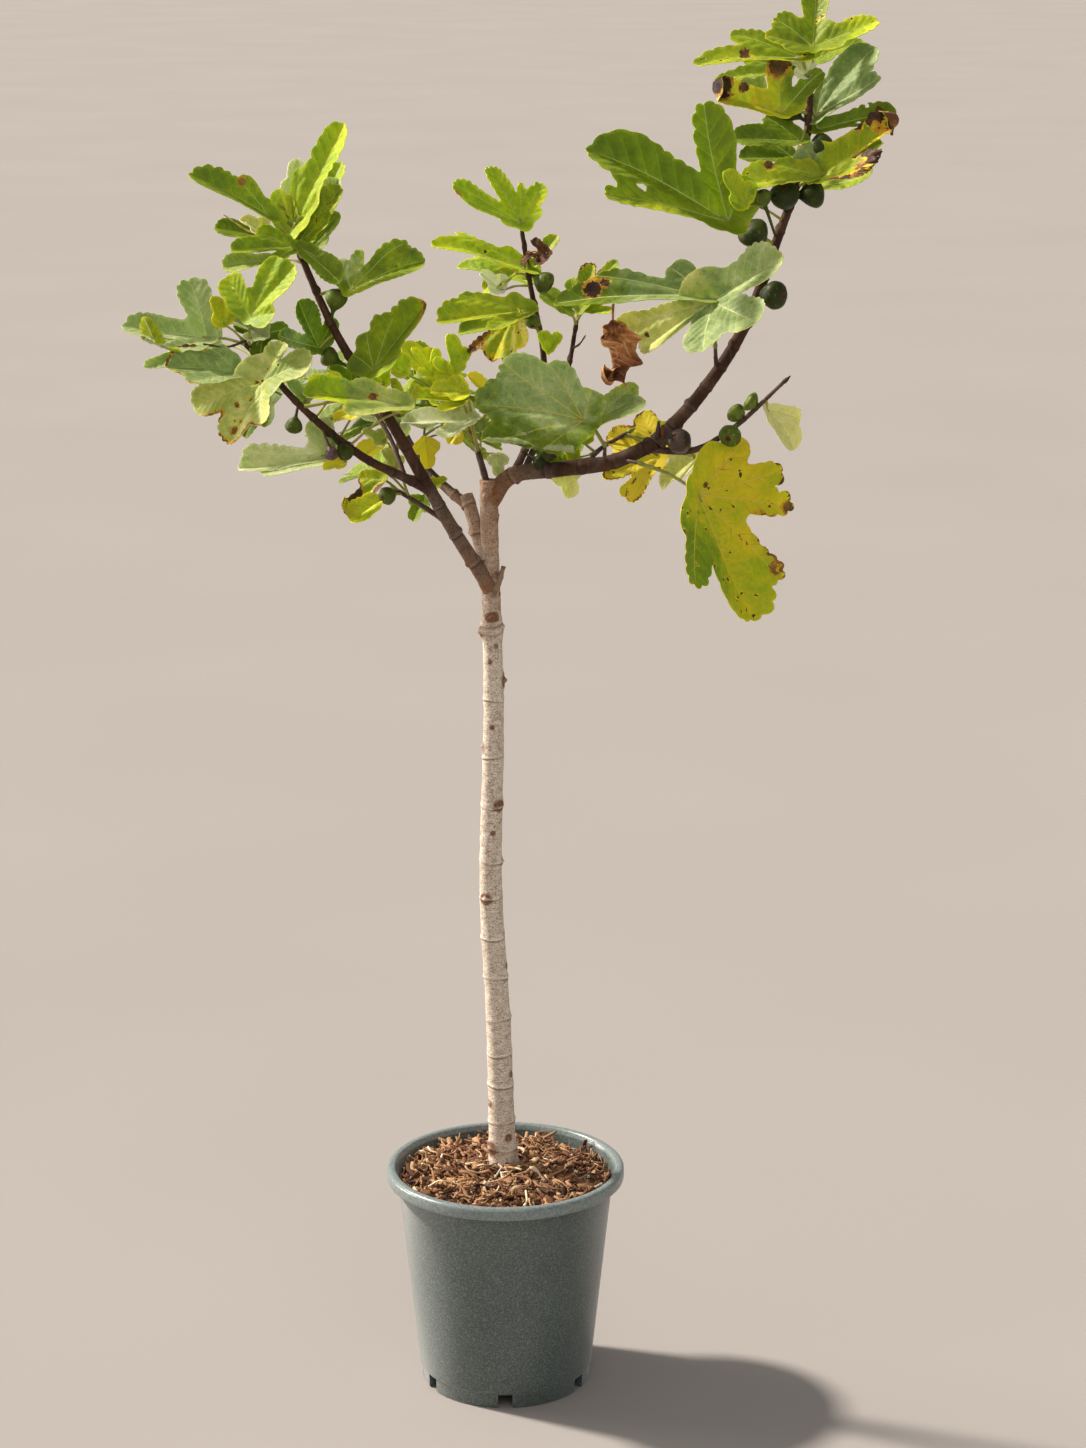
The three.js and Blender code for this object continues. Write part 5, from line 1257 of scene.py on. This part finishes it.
# a side twig of its own, with a ring of scars at each node
def growTwig(heap, curve, radii, seed):
    sides, gap = twigShape["sides"], twigShape["gap"]
    foot, tip = radii
    length = curve["length"]
    steps = max(10, int(length / 2.5))
    shares = [i / steps for i in range(steps + 1)]
    widths = [foot + (tip - foot) * s + twigShape["scar"] * hump((s * length + 7 * seed) % gap - 9, 1.6)
              for s in shares]
    widths[-1] *= 0.6
    shape, faces = tubeShape([onCurve(curve, s) for s in shares], widths, sides)
    run = np.arange(len(faces)) / (2 * sides) * length / steps
    level = 2.4 + 0.7 * patches(run, 3 * seed, 6, seed) - 0.8 * (np.abs((run + 7 * seed) % gap - 11.5) < 1.2)
    addShape(heap, shape, faces, toneAt("twig", level))


# a pointed bud at the end of a twig
def growBud(heap, foot, heading, length, ladder, level):
    points = [foot + heading * (length * s) for s in (0, 0.2, 0.45, 0.7, 0.9, 1)]
    shape, faces = tubeShape(points, [length * w for w in (0.16, 0.23, 0.2, 0.12, 0.05, 0.01)], 8)
    addShape(heap, shape, faces, toneAt(ladder, level + 0.4 * patches(np.arange(len(faces)) / 8, 0, 3, 2)))


def growSpray(name, spray):
    seed = spray["seed"]
    throw, small = dice(seed), dice(seed + 500)
    parent = boughShapes.get(spray.get("follows"))
    curve = parent["curve"] if parent else throughStations([spray["from"], *spray["to"]])
    start = parent["bare"] + 0.3 / curve["length"] if parent else 0
    leaves, twigs, figs = newHeap(), newHeap(), newHeap()

    def atShare(share):
        return onCurve(curve, start + (1 - start) * share)

    def addLeaf(share, root, midrib, roll, kind, bend, skin, marks, number, label=""):
        if label in leftOut:
            return
        foot = onPlant(share) if isinstance(share, tuple) else atShare(share)
        growLeaf(leaves, root, midrib, roll, kind, bend, skin, marks, seed * 10 + number)
        width = stalkShape["width"] * (0.75 + midrib.length / 330)
        level = stalkShape["dryLevel"] if skin[0] == "dead" else stalkShape["level"] + 0.25 * (skin[1] % 3 - 1)
        growStalk(twigs, foot, root, midrib, width, level)

    bends = [leafBend(throw) for _ in spray["leaves"]]
    for i, (share, root, midrib, roll, kind, skin, marks) in enumerate(spray["leaves"]):
        addLeaf(share, onPlant(root), Vector(midrib), roll, kind, bends[i], skin, marks, i)
    for i, (share, middle, radius, ladder, level) in enumerate(spray.get("figs", [])):
        growFig(figs, atShare(share), onPlant(middle), radius, ladder, level, seed + i)
    for i, (share, root, midrib, roll, kind, skin, marks) in enumerate(spray["leaves"]):
        size = Vector(midrib).length
        shift = twinShape["back"] * (0.75 + 0.5 * throw())
        lean = 0.4 * size * throw()
        if not twinShape["least"] <= size <= twinShape["most"] or isinstance(share, tuple) or i % 2 == seed % 2:
            continue
        seat = onPlant(root) + Vector((0, shift, -shift * twinShape["fall"]))
        blade = Vector((midrib[0], midrib[1] + lean, midrib[2] - lean * twinShape["fall"])) * twinShape["size"]
        twin = (skin[0] if skin[0] != "pale" else "green", clamp(skin[1] - 0.5, 1, 4.5), 0.6)
        addLeaf(max(0.04, share - 0.12), seat, blade, roll, kind, bends[i], twin, {}, 200 + i, f"{name} twin {i}")
    for i, (root, midrib, kind, skin) in enumerate(spray.get("small", [])):
        root = onPlant(root)
        near = min(range(0, 100, 2), key=lambda s: (atShare(s / 100) - root).length)
        marks = {"veins": 5, "below": skin, "crumple": 0.15} if skin[0] == "dead" else {}
        addLeaf(near / 100, root, Vector(midrib), 0, kind, leafBend(small), skin, marks, 600 + i)
    count, backSize = spray.get("back", (0, 0))
    ladder, level, spread = spray.get("backSkin", ("green", 3, 0.6))
    for i in range(count):
        share = 0.15 + 0.8 * (i + 0.5) / count
        turn = math.radians(90 + 62 * math.sin(math.radians(137.508 * i)))
        out = Vector((math.cos(turn), math.sin(turn), 0.35 + 0.3 * throw()))
        root = atShare(share) + out * (42 + 24 * throw())
        size = backSize * (0.85 + 0.3 * throw())
        midrib = Vector((out.x, out.y, 0.1 - 0.6 * throw())).normalized() * size
        roll = 20 * throw() - 10
        skin = (ladder, level + 1.1 * math.sin(2.4 * i + seed), spread)
        addLeaf(share, root, midrib, roll, "three" if i % 4 else "five", leafBend(throw), skin, {}, 400 + i,
                f"{name} back {i}")
    if not parent:
        growTwig(twigs, curve, spray["radii"], seed)
    heading = alongCurve(curve, 0.99)
    growBud(twigs, atShare(1) - heading * 1.5, heading, 12, *spray.get("budSkin", ("stalk", 1.2)))
    short = name.replace("foliage_", "")
    buildHeap(leaves, f"leaves_{short}", name)
    buildHeap(twigs, f"twigs_{short}")
    if figs["count"]:
        buildHeap(figs, f"figs_{short}")


# spurs, dead twigs and the stalks of leaves that fell: foot, tip, radius at the foot, ladder and level
spurs = [
    ((-13, -9, 700), (0, -6, 732), 4.4, "twig", 4.2), ((212, -26, 922), (223, -30, 935), 3.4, "twig", 1.4),
    ((170, -34, 884), (171, -42, 902), 3.2, "twig", 1.8), ((176, -36, 884), (175, -44, 898), 2.6, "dead", 1.6),
    ((-270, -84, 1000), (-321, -100, 996), 1.6, "twig", 1.6), ((-236, -12, 1102), (-308, 18, 1122), 1.3, "stalk", 3.4),
    ((-236, -12, 1100), (-284, 18, 1112), 1.3, "stalk", 3.2), ((-222, -16, 1090), (-219, -14, 1108), 3, "twig", 1),
    ((-150, -47, 930), (-136, -56, 922), 2.4, "twig", 2.6), ((-148, -48, 922), (-131, -58, 914), 2, "dead", 2.4),
    ((78, 100, 962), (92, 88, 978), 1.4, "twig", 1.6), ((38, 30, 932), (58, 22, 952), 1.5, "stalk", 3.6),
]


def growSpurs():
    heap = newHeap()
    for foot, tip, radius, ladder, level in spurs:
        foot, tip = onPlant(foot), onPlant(tip)
        bend = foot.lerp(tip, 0.5) + Vector((0, 0, -0.12 * (tip - foot).length))
        curve = traced([foot, bend, tip])
        steps = max(6, int(curve["length"] / 3))
        widths = [radius * (1 - 0.5 * i / steps) * (1.25 if i % 4 == 3 else 1) for i in range(steps + 1)]
        shape, faces = tubeShape([onCurve(curve, i / steps) for i in range(steps + 1)], widths, 10)
        addShape(heap, shape, faces, toneAt(ladder, level + 0.6 * patches(np.arange(len(faces)) / 10, 0, 4, 6)))
    buildHeap(heap, "spurs")


growSpurs()
for name, spray in sprays.items():
    growSpray(name, spray)


# a profile turned round the upright axis
def spinProfile(profile, steps, unit):
    bm = bmesh.new()
    corners = [bm.verts.new((r * unit, 0, z * unit)) for r, z in profile]
    edges = [bm.edges.new(pair) for pair in zip(corners, corners[1:])]
    bmesh.ops.spin(bm, geom=corners + edges, axis=(0, 0, 1), cent=(0, 0, 0), angle=2 * math.pi, steps=steps,
                   use_merge=True)
    bmesh.ops.remove_doubles(bm, verts=bm.verts, dist=1e-3 * unit)
    bmesh.ops.recalc_face_normals(bm, faces=bm.faces)
    for face in bm.faces:
        face.smooth = True
    return bm


# the pot: turned in one piece, with a rolled rim, a step at the foot and six drain slots
potShape = {
    "profile": [(0, 1.2), (88, 1.2), (90, 0), (96.4, 0), (98.2, 0.8), (98.9, 2.4), (99.5, 17.6), (100, 18.3),
                (101, 18.8), (101.4, 20), (113.6, 135), (125.7, 248.4), (126.6, 249.8), (128.4, 250), (136.4, 250),
                (138.2, 250.6), (138.9, 252.2), (139, 256), (139, 260.5), (138.8, 261.9), (138.1, 263.1),
                (137.1, 264.1), (135.9, 264.8), (134.5, 265), (131.6, 265), (129.9, 264.5), (128.8, 263.2),
                (127.4, 258.5), (125.4, 251), (123.6, 244), (111, 130), (98.8, 21.5), (97.2, 20), (0, 20)],
    "segments": 160,
    "rimFrom": (127.5, 250.3),  # the smooth rim lies beyond this radius and height
    "slots": 6, "slotWide": 17, "slotHigh": 17, "slotFrom": 58, "slotTo": 139, "slotBelow": 10,
    "edge": 0.5, "edgeAngle": 50,
}


# grey-green recycled polypropylene from a mould: half matt, with a fine speckled grain and paler dots
def makePlastic():
    material, tree, shader = newMaterial("matPotPlastic", Roughness=0.42, Specular_IOR_Level=0.5, Sheen_Weight=0.42,
                                         Sheen_Roughness=0.4)
    place = addNode(tree, "TexCoord").outputs["Object"]
    cloud = addNode(tree, "TexNoise", {"Vector": place, "Scale": perMetre(50), "Detail": 3})
    speck = addNode(tree, "TexNoise", {"Vector": place, "Scale": perMetre(2), "Detail": 3})
    dust = addNode(tree, "TexVoronoi", {"Vector": place, "Scale": perMetre(4.5)})
    broad = addNode(tree, "ValToRGB", {"Fac": cloud}, [(0.3, "#4c5856"), (0.7, "#596562")])
    grain = addNode(tree, "ValToRGB", {"Fac": speck}, [(0.34, "#36413f"), (0.68, "#7f8984"), (0.52, "#54605d")])
    base = addNode(tree, "Mix", {0: 0.6, 6: broad, 7: grain})
    dot = addNode(tree, "ValToRGB", {"Fac": dust.outputs["Distance"]}, [(0.1, 0.55), (0.2, 0.0)])
    dusty = addNode(tree, "Mix", {0: dot, 6: base, 7: toLinear("#868e89")})
    tree.links.new(dusty.outputs[2], shader.inputs["Base Color"])
    bump = addNode(tree, "Bump", {"Height": speck, "Strength": 0.35, "Distance": 0.5 * mm})
    tree.links.new(bump.outputs["Normal"], shader.inputs["Normal"])
    return material


# the rim is the same plastic but smooth, so it is plainer and shinier; its paler colour is a painted highlight where
# the rolled rim catches the light
def makeRim():
    material, tree, shader = newMaterial("smoothRimPaintedHighlight", Roughness=0.3, Specular_IOR_Level=0.6)
    place = addNode(tree, "TexCoord").outputs["Object"]
    speck = addNode(tree, "TexNoise", {"Vector": place, "Scale": perMetre(3), "Detail": 3})
    # paler than the body: painted highlight on the rim
    shade = addNode(tree, "ValToRGB", {"Fac": speck}, [(0.32, "#6a7675"), (0.68, "#8b9694")])
    tree.links.new(shade.outputs[0], shader.inputs["Base Color"])
    bump = addNode(tree, "Bump", {"Height": speck, "Strength": 0.12, "Distance": 0.4 * mm})
    tree.links.new(bump.outputs["Normal"], shader.inputs["Normal"])
    return material


def turnPot():
    bm = spinProfile(potShape["profile"], potShape["segments"], mm)
    outside, above = potShape["rimFrom"]
    for face in bm.faces:
        middle = face.calc_center_median() / mm
        # rim faces take the smooth rim material, which carries a painted highlight
        face.material_index = int(middle.z > above and middle.xy.length > outside)
    pot = newPiece("pot_shell", meshOf(bm, "pot_shell", [makePlastic(), makeRim()]), "pot")
    cuts = bmesh.new()
    reach = potShape["slotTo"] - potShape["slotFrom"]
    tall = potShape["slotHigh"] + potShape["slotBelow"]
    for i in range(potShape["slots"]):
        spot = Matrix.Rotation(2 * math.pi * i / potShape["slots"], 4, "Z") @ Matrix.Translation(
            (0, -(potShape["slotFrom"] + reach / 2) * mm, (tall / 2 - potShape["slotBelow"]) * mm))
        size = Matrix.Diagonal((potShape["slotWide"] * mm, reach * mm, tall * mm, 1))
        bmesh.ops.create_cube(cuts, size=1, matrix=spot @ size)
    cutter = newObject("slots", meshOf(cuts, "slots"))
    cut = pot.modifiers.new("slots", "BOOLEAN")
    cut.object = cutter
    cut.operation = "DIFFERENCE"
    cut.solver = "EXACT"
    bpy.context.view_layer.update()
    cutPot = bpy.data.meshes.new_from_object(pot.evaluated_get(bpy.context.evaluated_depsgraph_get()))
    pot.modifiers.clear()
    pot.data = cutPot
    bpy.data.objects.remove(cutter)
    edge = pot.modifiers.new("edge", "BEVEL")
    edge.width = potShape["edge"] * mm
    edge.segments = 2
    edge.limit_method = "ANGLE"
    edge.angle_limit = math.radians(potShape["edgeAngle"])
    edge.harden_normals = True


turnPot()
print("pot turned")


# mulch: shredded bark and coir, in strands, chips and crumbs over a lumpy bed
mulchShape = {
    "edge": 123, "middle": 250, "fall": 9, "depth": 18, "steps": 55, "segments": 150,
    "heap": (-22, 34, 62, 9),  # x, y, width and height of the mound by the stem
    "counts": {"strand": 980, "chip": 420, "crumb": 500}, "seed": 77,
    "spread": 120, "outer": 122, "top": 266,
    "stem": (-3, 15, 15),      # x, y and radius that stay free
}


def bedHeight(x, y):
    far = min(math.hypot(x, y) / mulchShape["edge"], 1)
    mx, my, wide, high = mulchShape["heap"]
    heap = high * hump(math.hypot(x - mx, y - my), wide)
    lump = 8 * noise.noise(Vector((x / 38, y / 38, 3))) + 7.5 * noise.noise(Vector((x / 14, y / 14, 5)))
    lump += 1.4 * noise.noise(Vector((x / 4.5, y / 4.5, 7)))
    return mulchShape["middle"] + heap - mulchShape["fall"] * far ** 4 + lump


# damp peaty bed under the loose bark: crumbly and quite matt, and dark, partly its own colour and partly painted shade
# for the gaps between the strands
def makeBed():
    material, tree, shader = newMaterial("peatBedWithGapShade", Roughness=0.92, Specular_IOR_Level=0.2)
    place = addNode(tree, "TexCoord").outputs["Object"]
    crumb = addNode(tree, "TexNoise", {"Vector": place, "Scale": perMetre(3), "Detail": 4})
    patch = addNode(tree, "TexNoise", {"Vector": place, "Scale": perMetre(20), "Detail": 2})
    both = addNode(tree, "Math", {0: crumb, 1: patch}, operation="ADD")
    half = addNode(tree, "Math", {0: both, 1: 0.5}, operation="MULTIPLY")
    # dark browns: partly the peat's colour and partly painted shade showing between the strands
    brown = addNode(tree, "ValToRGB", {"Fac": half}, [(0.36, "#1d120c"), (0.66, "#5f422d"), (0.5, "#3a261a")])
    tree.links.new(brown.outputs[0], shader.inputs["Base Color"])
    bump = addNode(tree, "Bump", {"Height": crumb, "Strength": 0.8, "Distance": 2 * mm})
    tree.links.new(bump.outputs["Normal"], shader.inputs["Normal"])
    return material


def layBed():
    edge, depth = mulchShape["edge"], mulchShape["depth"]
    top = [(r, 0) for r in np.linspace(0, edge, mulchShape["steps"] + 1)]
    bm = spinProfile(top + [(edge - 2.5, -depth), (0, -depth)], mulchShape["segments"], 1)
    for v in bm.verts:
        z = bedHeight(v.co.x, v.co.y) if v.co.z > -1 else mulchShape["middle"] - depth
        v.co = Vector((v.co.x, v.co.y, z)) * mm
    newPiece("mulch_bed", meshOf(bm, "mulch_bed", [makeBed()]), "potting_mix")


# a flat strand along points, four-sided, turning as it goes
def strandShape(points, wide, thick, twist, start):
    rows = []
    for i, (p, along) in enumerate(headings(points)):
        side = along.cross(Vector((0, 0, 1)))
        side = side.normalized() if side.length > 1e-3 else Vector((1, 0, 0))
        side.rotate(Matrix.Rotation(start + twist * i / len(points), 3, along))
        up = side.cross(along)
        taper = 0.35 + 0.65 * math.sin(math.pi * (i + 0.6) / (len(points) + 0.2)) ** 0.5
        for a, b in ((1, 1), (-1, 1), (-1, -1), (1, -1)):
            rows.append(p + side * (a * wide / 2 * taper) + up * (b * thick / 2))
    last = len(rows) - 4
    ends = [(0, 2, 1), (0, 3, 2), (last, last + 1, last + 2), (last, last + 2, last + 3)]
    return np.array([tuple(p) for p in rows]), np.vstack(bandFaces(len(points), 4) + [ends])


def layMulch():
    heap = newHeap()
    throw = dice(mulchShape["seed"])
    outer = mulchShape["outer"]
    sx, sy, free = mulchShape["stem"]
    for kind, count in mulchShape["counts"].items():
        for _ in range(count):
            far, turn = mulchShape["spread"] * math.sqrt(throw()), 2 * math.pi * throw()
            x, y = far * math.cos(turn), far * math.sin(turn)
            heading, bend = 2 * math.pi * throw(), (throw() - 0.5) * 4.4
            patch = noise.noise(Vector((x / 26, y / 26, 11)))
            level = 2.8 + 1.2 * patch + 3.6 * (throw() - 0.5) + (1.8 if throw() > 0.86 else 0)
            if kind == "strand":
                length, wide, thick = 20 + 46 * throw() ** 1.8, 1.7 + 5 * throw() ** 2.2, 0.8 + 1.2 * throw()
                lift, pieces = 1.5 + 9 * throw() ** 2, 8
            elif kind == "chip":
                length, wide, thick = 11 + 22 * throw(), 4 + 7 * throw(), 1.2 + 1.6 * throw()
                lift, pieces = 1.5 + 5 * throw(), 3
            else:
                length, wide, thick = 2 + 4 * throw(), 1.5 + 2 * throw(), 1.2 + 1.2 * throw()
                lift, pieces = 0.8, 3
            tilt = (throw() - 0.5) * (26 if kind == "strand" else 18)
            bow = throw() * (10 if kind == "strand" else 1)
            points = []
            for i in range(pieces):
                s = i / (pieces - 1) - 0.5
                h = heading + bend * s
                px, py = x + s * length * math.cos(h), y + s * length * math.sin(h)
                inward = min(1, outer / max(math.hypot(px, py), 1))
                px, py = px * inward, py * inward
                z = (bedHeight(px, py) + bedHeight(x, y)) / 2 + lift + tilt * s + bow * (4 * s * s - 0.4)
                points.append((px, py, min(z, mulchShape["top"])))
            if math.hypot(x - sx, y - sy) < free or (Vector(points[0]) - Vector(points[-1])).length < 1:
                continue
            shape, faces = strandShape(points, wide, thick, (throw() - 0.5) * 3, (throw() - 0.5) * 1.6)
            ladder = "grey" if throw() > 0.982 else "mulch"
            if ladder == "grey":
                level = 2 * throw()
            addShape(heap, shape, faces, toneAt(ladder, level))
    buildHeap(heap, "mulch_strands")


layBed()
layMulch()
print("mulch laid")


# pale plaster floor, matt, with a faint slow unevenness
def makeFloor():
    material, tree, shader = newMaterial("palePlaster", Roughness=0.9, Specular_IOR_Level=0.2)
    place = addNode(tree, "TexCoord").outputs["Object"]
    cloud = addNode(tree, "TexNoise", {"Vector": place, "Scale": perMetre(900), "Detail": 1})
    shade = addNode(tree, "ValToRGB", {"Fac": cloud}, [(0.3, "#a49e9a"), (0.7, "#a7a19d")])
    tree.links.new(shade.outputs[0], shader.inputs["Base Color"])
    return material


def layFloor():
    bm = bmesh.new()
    bmesh.ops.create_grid(bm, x_segments=1, y_segments=1, size=60)
    floor = newObject("floor", meshOf(bm, "floor", [makeFloor()]))


# a sun's size is the angle that it fills, an area light's is its side
def addLight(name, kind, towards, energy, colour, size, place=(0, 0, 0)):
    data = bpy.data.lights.new(name, kind)
    data.energy = energy
    data.color = toLinear(colour)[:3]
    if kind == "SUN":
        data.angle = math.radians(size)
    else:
        data.size = size
    lamp = newObject(name, data)
    lamp.location = place
    lamp.rotation_euler = Vector(towards).to_track_quat("Z", "Y").to_euler()


layFloor()
world = bpy.data.worlds.new("room")
world.use_nodes = True
world.node_tree.nodes.clear()
air = addNode(world.node_tree, "Background", {"Color": toLinear("#d5d3d1"), "Strength": 0.53})
addNode(world.node_tree, "OutputWorld", {"Surface": air})
bpy.context.scene.world = world
addLight("window", "SUN", (-0.67, 0.26, 0.69), 5.2, "#fff6ec", 5)
addLight("room", "AREA", (0.1, -0.8, 0.5), 17, "#fffaf4", 2.4, (0.3, -2.8, 2.4))
addLight("bounce", "SUN", (-0.95, 0.3, 0.08), 2.7, "#fff4e8", 22)
bpy.context.scene.view_settings.view_transform = "Standard"
